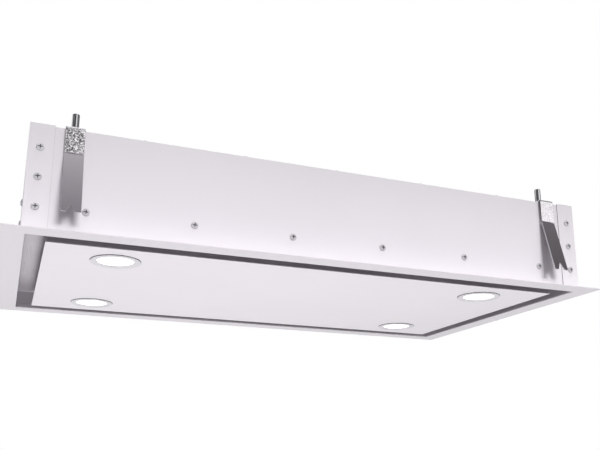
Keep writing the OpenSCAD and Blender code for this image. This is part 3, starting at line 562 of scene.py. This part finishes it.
# %% [markdown]
# ## Screws, cast metal and laminations
# Bright zinc on screws is thin and even, with faint clouds. Heat sinks are pressure cast, with a
# pebbly skin. Both are fine noise over broad clouds, so one function with different numbers makes
# them. A motor's core is a stack of half millimetre sheets, which shows as fine layers: a height
# folded back and forth gives those more cleanly than noise would.

# %% Screws, cast metal and laminations
CLOUDS_PER_GRAIN = 0.08


def speckled(name, dark, light, low, high, scale, depth, metallic):
    """A surface with clouds of tone and a fine skin. scale is the number of grains in a metre."""
    skin = Finish(name, Metallic=metallic)
    cloud = skin.noise(skin.place, scale * CLOUDS_PER_GRAIN, 3)
    grain = skin.noise(skin.place, scale, 3)
    skin.feed(Base_Color=skin.mix(skin.between(cloud, 0.0, 1.0), srgb(dark), srgb(light)))
    skin.feed(Roughness=skin.between(grain, low, high))
    skin.bump(grain, depth * MM, 0.4)
    return skin


def layered(name, dark, light, pitch):
    """Stacked sheets, pitch mm apart."""
    core = Finish(name, Metallic=0.8, Roughness=0.5)
    layer = (core.axis(2) * (1000 / pitch)).math("PINGPONG", 1.0)
    core.feed(Base_Color=core.mix(layer, srgb(dark), srgb(light)))
    core.bump(layer, 0.15 * MM, 0.6)
    return core


# Two tones, the roughness range, grains in a metre, depth of the skin in mm, and how metallic.
METAL_SKINS = {
    "zinc_screws": ("#c2bfc4", "#d6d3d8", 0.24, 0.34, 2500, 0.02, 0.3),
    # Painted shade for the screws' cross recess.
    "recess_shade": ("#5a585c", "#6f6d71", 0.5, 0.6, 2500, 0.02, 0.2),
    # Cut edges: bare metal, darkened further as painted shade.
    "cut_edge_and_shade": ("#5f5d62", "#757378", 0.5, 0.6, 2500, 0.02, 0.2),
    "heat_sink": ("#a3a2a6", "#b3b2b6", 0.4, 0.6, 3500, 0.05, 0.7),
}
for slot_name, numbers in METAL_SKINS.items():
    keep(slot_name, speckled(slot_name, *numbers))
keep("motor_core", layered("motor_core", "#54565a", "#8a8c90", 0.5))

# %% [markdown]
# ## Plastic, rubber and magnets
# Moulded plastic has a spark eroded grain and hardly any colour change. Rubber is duller still.
# They could each have a material of their own, but they are the same kind of skin as cast metal,
# only without the metal, so the same function makes them from a table.

# %% Plastic, rubber and magnets
# Two tones, the roughness range, grains in a metre, and depth of the skin in mm.
PLASTICS = {
    "latch_plastic": ("#2c2d30", "#35363a", 0.4, 0.55, 2200, 0.05),
    "lamp_ring": ("#d6d3d7", "#dddade", 0.34, 0.46, 1800, 0.02),
    "magnet": ("#26241f", "#35322c", 0.5, 0.7, 1600, 0.06),
    "impeller_plastic": ("#33353a", "#3e4046", 0.4, 0.55, 2000, 0.05),
    "rubber": ("#1b1b1c", "#262627", 0.6, 0.8, 1800, 0.05),
    "box_plastic": ("#d2d3d4", "#dadbdc", 0.38, 0.52, 1800, 0.04),
    "terminal": ("#e6e4dc", "#efede6", 0.35, 0.5, 1800, 0.03),
    "capacitor": ("#dfe0e2", "#e9eaec", 0.3, 0.45, 1400, 0.02),
}
for slot_name, numbers in PLASTICS.items():
    keep(slot_name, speckled(slot_name, *numbers, metallic=0.0))

# %% [markdown]
# ## Filter mesh, circuit board and lens
# The filter is a pack of expanded aluminium: slit sheet pulled open into diamonds. Real strands
# would be thousands of small faces, so two slanted waves cross to draw the diamonds instead, and
# the holes between the strands are painted dark, as painted shade for the space behind them.
# The board's copper tracks run square on green resin. The lens glows from the diodes behind it.

# %% Filter mesh, circuit board and lens
DIAMOND_LONG, DIAMOND_HIGH = 7.0, 3.6
STRAND_SHARE, STRAND_DEPTH = 0.34, 0.4
WANDER_GRAINS = 60
TRACKS_PER_METRE = 120.0
TRACK_PATCHES, TRACK_DEPTH = 90, 0.05
FROST_GRAINS, FROST_DEPTH = 1500, 0.03


def expanded_mesh():
    """Diamonds of 14 by 7.2 mm, which is how far a folded wave takes to repeat."""
    sheet = Finish("filter_mesh", Roughness=0.36)
    along = sheet.axis(0) * (1000 / DIAMOND_LONG)
    over = sheet.axis(1) * (1000 / DIAMOND_HIGH) + sheet.axis(2) * (1000 / DIAMOND_HIGH)
    rising = (along + over).math("PINGPONG", 1.0)
    falling = (along - over).math("PINGPONG", 1.0)
    strand = rising.math("MINIMUM", falling) < STRAND_SHARE
    wander = sheet.noise(sheet.place, WANDER_GRAINS, 2)
    bright = sheet.mix(wander, srgb("#b5b6b9"), srgb("#dcdddf"))
    # The holes between the strands get a dark colour: painted shade.
    sheet.feed(Base_Color=sheet.mix(strand, srgb("#4a4b4e"), bright), Metallic=strand * 0.6)
    sheet.bump(strand, STRAND_DEPTH * MM, 0.3)
    return sheet


def circuit_board():
    """Green resin with patches of square copper tracks."""
    board = Finish("board", Roughness=0.35)
    bricks = {"Vector": board.place, "Scale": TRACKS_PER_METRE, "Mortar Size": 0.05}
    lanes = board.node("ShaderNodeTexBrick", {"offset": 0.5}, bricks, out=1)
    patch = board.noise(board.place, TRACK_PATCHES, 1) > 0.5
    track = lanes * patch
    board.feed(Base_Color=board.mix(track, srgb("#1e5a3a"), srgb("#4f9468")))
    board.bump(track, TRACK_DEPTH * MM, 0.6)
    return board


def glowing_lens():
    """Frosted plastic that glows as white as in the photograph."""
    lens = Finish("lamp_lens", Roughness=0.3, Emission_Strength=1.0)
    frost = lens.noise(lens.place, FROST_GRAINS, 2)
    lens.feed(Base_Color=lens.mix(frost, srgb("#f4f4f6"), srgb("#ffffff")))
    lens.feed(Emission_Color=lens.mix(frost, srgb("#f6f6f6"), srgb("#ffffff")))
    lens.bump(frost, FROST_DEPTH * MM, 0.4)
    return lens


keep("filter_mesh", expanded_mesh())
keep("board", circuit_board())
keep("lamp_lens", glowing_lens())
print("finishes:", len(FINISHES))

# %% [markdown]
# ## Finishes on the CAD pieces
# Each CAD piece belongs to a slot of the record, and the slot's finish goes on the whole piece.
# They could be dressed one by one, but the record knows them all, so one loop does it. Pieces
# deep inside whose CAD shape is right already stay as they are, with nothing more than this.

# %% Finishes on the CAD pieces
subparts = frame["record"]["subparts"]
for part in subparts:
    mesh = frame["nodes"][part["node"]].data
    mesh.materials.clear()
    mesh.materials.append(FINISHES[part["material_slot"]])
print("dressed", len(subparts), "CAD pieces")

# %% [markdown]
# ## Folded sheet
# Sheet bends round a die, so no edge of a real hood is a perfect corner: each one carries a thin
# line of light. A bevel in the shader would cost render time and leave the mesh sharp.
# The CAD shapes are right, so their copies only get rounded edges, as wide as the fold is.

# %% Rim, walls and panel
# How far from the middle, in metres, the rim's outside and its opening lie, and the returns' ends.
RIM_OUTSIDE = (0.4495, 0.2595)
RIM_OPENING = (0.4205, 0.2305)
RETURN_END = 0.4
RETURN_FACE = 0.2367
SHORT_EDGE = 3.0
# A face points along an axis where that part of its normal is larger than this.
POINTS_ALONG = 0.8


def on_the_rim(a, b):
    """Edges of the rim that can be seen: round its outside and round the opening."""
    middle = (a + b) / 2
    outside = abs(middle.x) > RIM_OUTSIDE[0] or abs(middle.y) > RIM_OUTSIDE[1]
    opening = abs(middle.x) < RIM_OPENING[0] and abs(middle.y) < RIM_OPENING[1]
    return outside or (opening and middle.z < HAIR)


def long_edge(a, b):
    """Leaves out the short edges round a drilled hole, which a screw head or a lamp hides."""
    return (a - b).length > SHORT_EDGE * MM


def cut_end(face):
    """The cut end of an end cap's lap on a long wall: dark bare metal and painted shade."""
    outermost = abs(face.center.x) < RETURN_END and abs(face.center.y) > RETURN_FACE
    return outermost and abs(face.normal.x) > POINTS_ALONG


rim_sheet = soften("flange_frame", "rim", 0.5, 3, on_the_rim)
rim = dress(rim_sheet, "housing", "white_paint", "flange_frame")
# The rim gets the darker copy of the paint, as painted shade.
rim.data.materials[0] = FINISHES["shaded_rim_paint"]

for node, name in (("front_wall", "front_sheet"), ("rear_wall", "rear_sheet")):
    dress(soften(node, name, 0.4, 2, long_edge), "housing", "white_paint", node)
for node, name in (("left_end_cap", "left_end"), ("right_end_cap", "right_end")):
    cap = dress(soften(node, name, 0.3, 2, long_edge), "housing", "white_paint", node)
    # The cut ends get the dark finish: bare metal and painted shade.
    cap.data.materials.append(FINISHES["cut_edge_and_shade"])
    for face in cap.data.polygons:
        if cut_end(face):
            face.material_index = 1
dress(soften("panel_face", "panel_sheet", 0.45, 3, long_edge), "panel", "white_paint", "panel_face")

# %% [markdown]
# ## Sheet and small parts inside the rim
# The slot's stainless channel, the tray behind the panel, the filter frames and the brackets are
# bent or pressed as well. New meshes would repeat the CAD's work, so their copies get rounded
# edges too. Moulded parts, such as the filters' latches, have the roundest ones.

# %% Sheet and small parts inside the rim
dress(soften("panel_tray", "panel_pan", 0.35), "panel", "stainless", "panel_tray")
dress(soften("channel_liner", "slot_channel", 0.45, 3), "housing", "stainless", "channel_liner")
ZINC_SHEET = {"top_plate": "housing", "hinge_brackets": "housing", "hinge_ears": "panel",
              "catch_strikes": "panel", "hanger_angles": "housing", "outlet_collar": "housing"}
for node, body in ZINC_SHEET.items():
    dress(soften(node, node + "_sheet", 0.3), body, "galvanised", node)
for side in ("left", "right"):
    filter_rim = soften("filter_frame_" + side, "filter_rim_" + side, 0.35)
    dress(filter_rim, "housing", "filter_aluminium", "filter_frame_" + side)
    filter_pull = soften("filter_latch_" + side, "filter_pull_" + side, 0.5, 3)
    dress(filter_pull, "latch_" + side, "latch_plastic", "filter_latch_" + side)
dress(soften("cable_gland", "cable_entry", 0.4, 3), "housing", "box_plastic", "cable_gland")
dress(soften("hanger_nuts", "stud_nuts", 0.3), "housing", "bright_steel", "hanger_nuts")

# %% [markdown]
# ## Hanging clips
# Each clip is a strip of zinc coated steel, hooked over the top of a long wall and held by a stud.
# It could be cut out of a block, but a sheet metal shop starts from a flat strip, and so does this:
# the strip is folded at the top, given its thickness, and drilled for the stud.
# One clip is made at the front left and the other three are copies of it.

# %% Hanging clips
CLIP_BEND = 3.0
CLIP_SHEET = 2.0
CLIP_CORNER = 2.0
STUD_HOLE = 5.2
EDGE_ROUND = 0.25
SQUARE_ABOVE = 50
stud_boxes = lumps("hanger_studs")


def round_edges(piece):
    """Rounds the edges that a shear left, which stand nearly square."""
    modify(piece, "BEVEL", width=EDGE_ROUND * MM, segments=2, limit_method="ANGLE",
           angle_limit=math.radians(SQUARE_ABOVE), use_clamp_overlap=False)


def hanging_clip():
    """The clip at the front left, with its cut edges marked for a second finish."""
    low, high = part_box("clip_front_left")
    bpy.ops.mesh.primitive_plane_add(size=1, rotation=(math.radians(90), 0, 0))
    clip = bpy.context.object
    clip.scale = (high.x - low.x, high.z - low.z, 1)
    clip.location = ((low.x + high.x) / 2, low.y, (low.z + high.z) / 2)
    bpy.ops.object.transform_apply(location=True, rotation=True, scale=True)
    choose(clip, "EDGE", lambda a, b: min(a.z, b.z) > high.z - MM)
    bpy.ops.mesh.extrude_region_move(TRANSFORM_OT_translate={"value": (0, high.y - low.y, 0)})
    close()
    choose(clip, "EDGE", lambda a, b: min(a.z, b.z) > high.z - MM and max(a.y, b.y) < low.y + MM)
    bpy.ops.mesh.bevel(offset=CLIP_BEND * MM, segments=6, affect="EDGES", clamp_overlap=False)
    close()
    choose(clip, "VERT", lambda p: p.y > high.y - MM or p.z < low.z + MM)
    bpy.ops.mesh.bevel(offset=CLIP_CORNER * MM, segments=4, affect="VERTICES", clamp_overlap=False)
    close()
    open_all(clip)
    bpy.ops.mesh.normals_make_consistent(inside=False)
    close()
    inwards = max(clip.data.polygons, key=lambda face: face.area).normal.y > 0
    modify(clip, "SOLIDIFY", thickness=CLIP_SHEET * MM, offset=1.0 if inwards else -1.0,
           use_even_offset=True)
    stud_low, stud_high = stud_boxes[0]
    stud = (stud_low + stud_high) / 2
    bpy.ops.mesh.primitive_cylinder_add(vertices=48, radius=STUD_HOLE * MM, depth=0.1,
                                        location=(stud.x, stud.y, high.z))
    carve(clip, bpy.context.object)
    round_edges(clip)
    # The cut edges get the second, dark finish: bare metal and painted shade.
    for face in clip.data.polygons:
        cut = abs(face.normal.x) > POINTS_ALONG and face.center.y < low.y + CLIP_BEND * MM
        face.material_index = 1 if cut else 0
    settle(clip)
    return clip


def four_ways(master, stem):
    """The master at the front left, and its copies at the other three corners, by name."""
    low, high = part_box(stem + "_front_left")
    right = Matrix.Translation((-(low.x + high.x), 0, 0))
    rear = Matrix.Scale(-1, 4, (0, 1, 0))
    pieces = {"front_left": master}
    ways = {"front_right": right, "rear_left": rear, "rear_right": rear @ right}
    for corner, matrix in ways.items():
        pieces[corner] = copy_to(master, matrix)
    for corner, piece in pieces.items():
        piece.name = stem + "_of_sheet_" + corner
    return pieces


for corner, piece in four_ways(hanging_clip(), "clip").items():
    dress(piece, "housing", "galvanised", "clip_" + corner)
    piece.data.materials[0] = FINISHES["clip_zinc"]
    # The second finish, on the cut edges, is dark: bare metal and painted shade.
    piece.data.materials.append(FINISHES["cut_edge_and_shade"])

# %% [markdown]
# ## Spring tongues
# A spring tongue leans out from under each clip. It folds in as the hood goes up and then springs
# over the edge of the ceiling board. A press stamps it flat with a V in its free end.
# A boolean could cut the V. Moving points is cleaner: the lower edge of a flat strip is cut in
# four, and its middle point is lifted before the strip gets its thickness.
# Steel that the press has just cut is bright, so the narrow edges have a finish of their own.

# %% Spring tongues
TONGUE_REACH = 87.5
TONGUE_SHEET = 1.6
TONGUE_LEAN = 15.0
TONGUE_CORNER = 1.5
FOLD_ROUND = 0.75
NOTCH_HALF = 5.5
NOTCH_HIGH = 12.5
# The sheet's two broad sides have more of Y in their normals than this.
BROAD_SIDE = 0.9


def spring_tongue():
    """The tongue at the front left, made upright and then leant out from its hinge line."""
    low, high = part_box("tongue_front_left")
    half_sheet = TONGUE_SHEET / 2 * MM
    pivot = Vector(((low.x + high.x) / 2, high.y - half_sheet, high.z - half_sheet))
    lean = math.radians(TONGUE_LEAN)
    reach = TONGUE_REACH * MM
    only_corners = 2 * NOTCH_HALF * MM
    bpy.ops.mesh.primitive_plane_add(size=1, rotation=(math.radians(90), 0, 0))
    tongue = bpy.context.object
    tongue.scale = (high.x - low.x, reach, 1)
    tongue.location = (0, 0, -reach / 2)
    bpy.ops.object.transform_apply(location=True, rotation=True, scale=True)
    choose(tongue, "EDGE", lambda a, b: max(a.z, b.z) < -reach + MM)
    bpy.ops.mesh.subdivide(number_cuts=3)
    close()
    # The lower edge has five points now: the middle one is lifted, and the next two set the width.
    for point in tongue.data.vertices:
        if point.co.z < -reach + MM and abs(point.co.x) < only_corners:
            middle = abs(point.co.x) < MM
            point.co.x = 0 if middle else math.copysign(NOTCH_HALF * MM, point.co.x)
            point.co.z += NOTCH_HIGH * MM if middle else 0
    modify(tongue, "SOLIDIFY", thickness=TONGUE_SHEET * MM, offset=0.0)
    choose(tongue, "EDGE", lambda a, b: min(a.z, b.z) > -MM and abs(a.y - b.y) < HAIR)
    bpy.ops.mesh.bevel(offset=FOLD_ROUND * MM, segments=5, affect="EDGES", clamp_overlap=False)
    close()

    def end_corner(a, b):
        """The short edges through the sheet at the two corners of the free end."""
        through = abs(abs(a.x) - abs(b.x)) < HAIR and abs(a.y - b.y) > MM
        return through and max(a.z, b.z) < -reach + MM and abs(a.x) > only_corners

    choose(tongue, "EDGE", end_corner)
    bpy.ops.mesh.bevel(offset=TONGUE_CORNER * MM, segments=4, affect="EDGES", clamp_overlap=False)
    close()
    round_edges(tongue)
    for face in tongue.data.polygons:
        sheared = abs(face.normal.y) < BROAD_SIDE and face.center.z < -MM
        face.material_index = 1 if sheared else 0
    tongue.data.transform(Matrix.Translation(pivot) @ Matrix.Rotation(-lean, 4, "X"))
    settle(tongue)
    return tongue


for corner, piece in four_ways(spring_tongue(), "tongue").items():
    dress(piece, "tongue_" + corner, "spring_steel", "tongue_" + corner)
    piece.data.materials.append(FINISHES["bright_steel"])

# %% [markdown]
# ## Studs
# Four bright studs stand on top, where the fitter's hanging rods are screwed on.
# A cylinder with bevelled ends would come near, but a stud is turned from bar and has a shoulder,
# so its outline is drawn once and spun about its axis.

# %% Studs
STUD_NECK = 23.0


def stud_bar(low, high):
    """One stud with its foot at the origin, from the heights in its box."""
    tall = (high.z - low.z) / MM
    outline = [(0, 0), (4.6, 0), (5.0, 0.4), (5.0, STUD_NECK - 0.25), (4.75, STUD_NECK),
               (4.75, tall - 1.0), (4.7, tall - 0.8), (3.95, tall - 0.05), (3.8, tall), (0, tall)]
    return turned("stud", outline, 64)


bar = stud_bar(*stud_boxes[0])
studs = []
for low, high in stud_boxes:
    foot = Vector(((low.x + high.x) / 2, (low.y + high.y) / 2, low.z))
    studs.append(copy_to(bar, Matrix.Translation(foot)))
bpy.data.objects.remove(bar)
dress(join("stud_bars", studs), "housing", "bright_steel", "hanger_studs")

# %% [markdown]
# ## Screws
# Pan head screws with a cross recess hold the sheets. The head is a shallow dome with a round
# shoulder. A flattened sphere has no such shoulder, so the outline is turned instead, and the
# cross is cut into it with two slabs. One screw is made, and copied to every CAD screw.
# No fitter stops a screw at the same angle twice, so the copies are turned to and fro a little.

# %% Screws
CROSS_REACH, CROSS_HALF = 2.8, 0.6
# The recess goes down through this share of a head's height.
CROSS_DEPTH = 0.55
# How high the heads stand, on the walls and on the top plate.
WALL_HEAD, TOP_HEAD = 2.6, 1.5
SCREW_SWAY = 5


def pan_screw(tall):
    """A screw whose head's top is at the origin and whose shank points down, in mm."""
    outline = [(0, 0), (1.8, -0.04 * tall), (3.2, -0.14 * tall), (4.1, -0.3 * tall),
               (4.75, -0.54 * tall), (5.1, -0.8 * tall), (5.15, -tall), (2.4, -tall),
               (2.4, -tall - 3.6), (1.9, -tall - 4.1), (0, -tall - 4.1)]
    screw = turned("screw", outline, 32)
    deep = CROSS_DEPTH * tall * MM
    reach, half = CROSS_REACH * MM, CROSS_HALF * MM
    carve(screw, slab((-reach, -half, -deep), (reach, half, MM)))
    carve(screw, slab((-half, -reach, -deep), (half, reach, MM)))
    screw.data.materials.clear()
    # The sides and floor of the cross get a dark finish, which is painted shade in the recess.
    for face in screw.data.polygons:
        across, along = sorted((abs(face.center.x), abs(face.center.y)))
        in_cross = (across < half + HAIR / 2 and along < reach + HAIR
                    and face.center.z > -deep - HAIR)
        side_or_floor = face.normal.z < 0.5 or face.center.z < HAIR - deep
        face.material_index = 1 if in_cross and side_or_floor else 0
    screw.data.materials.append(FINISHES["zinc_screws"])
    screw.data.materials.append(FINISHES["recess_shade"])
    settle(screw)
    return screw


def drive_screws(node, tall, outwards):
    """Copies of a screw at every lump of a CAD piece. outwards gives where a head points."""
    screw = pan_screw(tall)
    copies = []
    for number, (low, high) in enumerate(lumps(node)):
        middle = (low + high) / 2
        way = outwards(middle)
        ends = (low, middle, high)
        top = Vector(ends[1 + int(way[i])][i] for i in range(3))
        turn = Matrix.Rotation(math.radians(SCREW_SWAY * math.sin(3 * number)), 4, "Z")
        aim = way.to_track_quat("Z", "Y").to_matrix().to_4x4()
        copies.append(copy_to(screw, Matrix.Translation(top) @ aim @ turn))
    bpy.data.objects.remove(screw)
    heads = join(node.replace("screws", "pan_heads"), copies)
    dress(heads, "housing", "zinc_screws", node, painted=True)


def sideways(axis):
    """The direction along one axis, away from the middle of the hood."""
    return lambda middle: Vector(math.copysign(1, middle[i]) if i == axis else 0 for i in range(3))


drive_screws("long_wall_screws", WALL_HEAD, sideways(1))
drive_screws("end_wall_screws", WALL_HEAD, sideways(0))
drive_screws("top_plate_screws", TOP_HEAD, sideways(2))

# %% [markdown]
# ## Lamps
# A downlight is a turned ring with a frosted lens in it. The ring stands 1.6 mm proud of the
# panel. A thin dark ring under its edge, finished as rubber, is painted shade for the gap,
# and shows as a dark line where the ring faces the viewer.
# Behind the panel its hub carries a cast heat sink, whose fins let warm air rise between them.
# Fins could be set round a core one by one, but cutting the gaps from a turned cup is how they
# stay one closed piece. The outlines are half sections, as a turner would draw them, in mm.

# %% Lamps
RING = [(25.6, 2.4), (25.6, -0.3), (26.0, -0.9), (27.0, -1.4), (33.6, -1.6), (34.6, -1.4),
        (34.9, -1.0), (34.9, -0.7), (34.0, -0.7), (34.0, 1.0), (30.4, 1.0), (30.4, 9.0),
        (26.6, 9.0), (26.6, 2.4), (25.6, 2.4)]
# The dark ring under the lamp ring's edge: painted shade for the gap there.
GAP_SHADE = [(34.05, -0.7), (34.7, -0.7), (34.7, 0.0), (34.9, 0.1), (34.9, 0.9), (34.05, 0.9),
        (34.05, -0.7)]
SINK = [(0, 9.2), (30.3, 9.2), (30.3, 12.2), (29.6, 12.9), (29.6, 23.4), (29.0, 24.0),
        (19.0, 24.0), (18.0, 23.0), (0, 23.0)]
LENS = [(0, -0.2), (12, -0.15), (20, 0.05), (25.5, 0.5), (25.5, 1.1), (26.0, 1.1), (26.0, 3.4),
        (0, 3.4)]
GAP_LOW, GAP_HIGH = (20, -1.3, 13.5), (32, 1.3, 26)
FINS = 24
LAMP_STEPS = 96


def at_lamps(master, name):
    """Copies of a master at the four lamps, joined into one piece."""
    copies = []
    for low, high in lumps("lamp_lenses"):
        middle = (low + high) / 2
        copies.append(copy_to(master, Matrix.Translation((middle.x, middle.y, 0))))
    bpy.data.objects.remove(master)
    return join(name, copies)


rings = at_lamps(turned("ring", RING, LAMP_STEPS), "lamp_rings")
dress(rings, "panel", "lamp_ring", "lamp_bezels")
lenses = at_lamps(turned("lens", LENS, LAMP_STEPS), "lamp_glass")
dress(lenses, "panel", "lamp_lens", "lamp_lenses")
# A dark ring at each lamp, which is painted shade for the gap round the ring.
gap_shades = at_lamps(turned("gap_shade", GAP_SHADE, LAMP_STEPS), "lamp_gap_shades")
dress(gap_shades, "panel", "rubber")


def heat_sink():
    """A cast cup with a ring of fins, which stand apart so that air can rise between them."""
    cup = turned("heat_sink", SINK, LAMP_STEPS)
    gap = slab([c * MM for c in GAP_LOW], [c * MM for c in GAP_HIGH])
    turns = [math.radians(360 / FINS * step) for step in range(FINS)]
    gaps = [copy_to(gap, Matrix.Rotation(turn, 4, "Z")) for turn in turns]
    bpy.data.objects.remove(gap)
    carve(cup, join("gaps", gaps))
    settle(cup)
    return cup


dress(at_lamps(heat_sink(), "lamp_heat_sinks"), "panel", "heat_sink", "lamp_housings")

# %% [markdown]
# ## Floor and world
# The photograph is a cut-out on white. A floor that is white to the light as well would light the
# hood from below so much that the shadows on its walls faded. So floor and sky are grey and dim to
# the light that falls on the hood, and white to the camera, in reflections and through glass.
# A trace of the plain floor stays in the mix, so that it keeps the hood's shadow.

# %% Floor and world
# How far below the rim the floor lies and how wide it is, in metres.
FLOOR_DROP, FLOOR_SIZE = 2.6, 60
FLOOR_GLOW = 0.96
SKY_STRENGTH = 0.15
WHITE = (1, 1, 1, 1)


def white_when_seen(nodes, plain, white, share):
    """Shows a white shader to the camera and to reflections, and a plain one to all other light."""
    camera_ray, glossy_ray, glass_ray = (
        nodes.node("ShaderNodeLightPath", out="Is " + kind + " Ray")
        for kind in ("Camera", "Glossy", "Transmission"))
    seen = camera_ray.math("MAXIMUM", glossy_ray).math("MAXIMUM", glass_ray)
    nodes.show(nodes.node("ShaderNodeMixShader", None, {0: seen * share, 1: plain, 2: white}))


bpy.ops.mesh.primitive_plane_add(size=FLOOR_SIZE, location=(0, 0, -FLOOR_DROP))
floor = bpy.context.object
floor.name = "floor"
pale_floor = Finish("pale_floor", Base_Color=srgb("#888789"), Roughness=0.9)
glow = pale_floor.node("ShaderNodeEmission", None, {"Color": WHITE})
plain = Value(pale_floor, pale_floor.shader.outputs[0])
white_when_seen(pale_floor, plain, glow, FLOOR_GLOW)
floor.data.materials.append(pale_floor.material)

scene.world = bpy.data.worlds.new("studio")
scene.world.use_nodes = True
studio = Nodes(scene.world.node_tree, "World Output")
dim_sky = {"Color": (0.99, 0.985, 1.0, 1), "Strength": SKY_STRENGTH}
sky = studio.node("ShaderNodeBackground", None, dim_sky)
white_when_seen(studio, sky, studio.node("ShaderNodeBackground", None, {"Color": WHITE}), 1.0)
print("floor", FLOOR_DROP, "m below the rim")

# %% [markdown]
# ## Lights
# In the photograph the front wall is lit evenly, and each tongue throws a soft shadow down to the
# left. A near lamp would light one end of the hood more, so the key lamp stands far off and is
# wide. A small lamp below lights the panel, least at its right end, and others fill in
# behind, above and on the right. Neither the camera nor the metal sees any of them.

# %% Lights
def softbox(name, at, to, size, power):
    """A large soft lamp that shines from one point towards another."""
    data = bpy.data.lights.new(name, "AREA")
    data.shape = "RECTANGLE"
    data.size, data.size_y = size
    data.energy = power
    lamp = bpy.data.objects.new(name, data)
    lamp.location = at
    lamp.rotation_euler = (Vector(to) - Vector(at)).to_track_quat("-Z", "Y").to_euler()
    lamp.visible_camera = False
    lamp.visible_glossy = False
    scene.collection.objects.link(lamp)


# Where each lamp stands and aims, its size in metres and its power in watts.
SOFTBOXES = {
    "key": ((2.0, -18.5, 6.9), (0.0, -0.2, 0.05), (7.5, 4.2), 3120),
    "fill": ((-4.0, 4.2, 1.8), (0.0, 0.0, 0.05), (3.0, 2.2), 235),
    "over": ((0.0, -0.8, 4.4), (0.0, 0.0, 0.05), (3.0, 3.0), 135),
    "under": ((-0.25, -0.3, -1.6), (-0.1, 0.0, 0.0), (1.0, 1.0), 21),
    "side": ((6.0, 1.0, 1.2), (0.4, 0.0, 0.05), (2.0, 2.0), 120),
}
for lamp_name, numbers in SOFTBOXES.items():
    softbox(lamp_name, *numbers)
print("lamps:", len(SOFTBOXES))

# %% [markdown]
# ## Cards that only reflections see
# Bare zinc and steel show what stands round them, and in a white room they would look white.
# Darker lamps can't help there, so grey cards stand above, in front, behind and at the sides, as
# in a photographer's studio. Only reflections see them: light and shadows pass them by.

# %% Cards that only reflections see
def card(name, corner_a, corner_b, level):
    """A flat card in grey, for reflections alone."""
    sheet = slab(corner_a, corner_b)
    sheet.name = name
    grey = Finish(name)
    grey.show(grey.node("ShaderNodeEmission", None, {"Color": (level, level, level, 1)}))
    sheet.data.materials.append(grey.material)
    for way in ("camera", "diffuse", "transmission", "shadow", "volume_scatter"):
        setattr(sheet, "visible_" + way, False)


# Two opposite corners in metres, and how bright the grey is.
CARDS = {
    "card_above": ((-4.0, -2.35, 2.6), (0.9, 4.0, 2.65), 0.95),
    "card_above_front": ((-4.0, -4.2, 2.6), (0.9, -2.35, 2.65), 0.4),
    "card_above_right": ((0.9, -4.1, 2.6), (6.0, 4.0, 2.65), 0.19),
    "card_front_left": ((-8.0, -6.0, 1.7), (0.22, -5.9, 5.0), 0.05),
    "card_left": ((-8.0, -6.0, 0.6), (-7.9, 3.0, 5.0), 0.12),
    "card_right": ((7.9, -3.6, 0.6), (8.0, 4.0, 5.0), 0.12),
    "card_behind": ((-6.0, 6.0, 0.4), (6.0, 6.1, 5.0), 0.2),
}
for card_name, numbers in CARDS.items():
    card(card_name, *numbers)
print("cards:", len(CARDS))
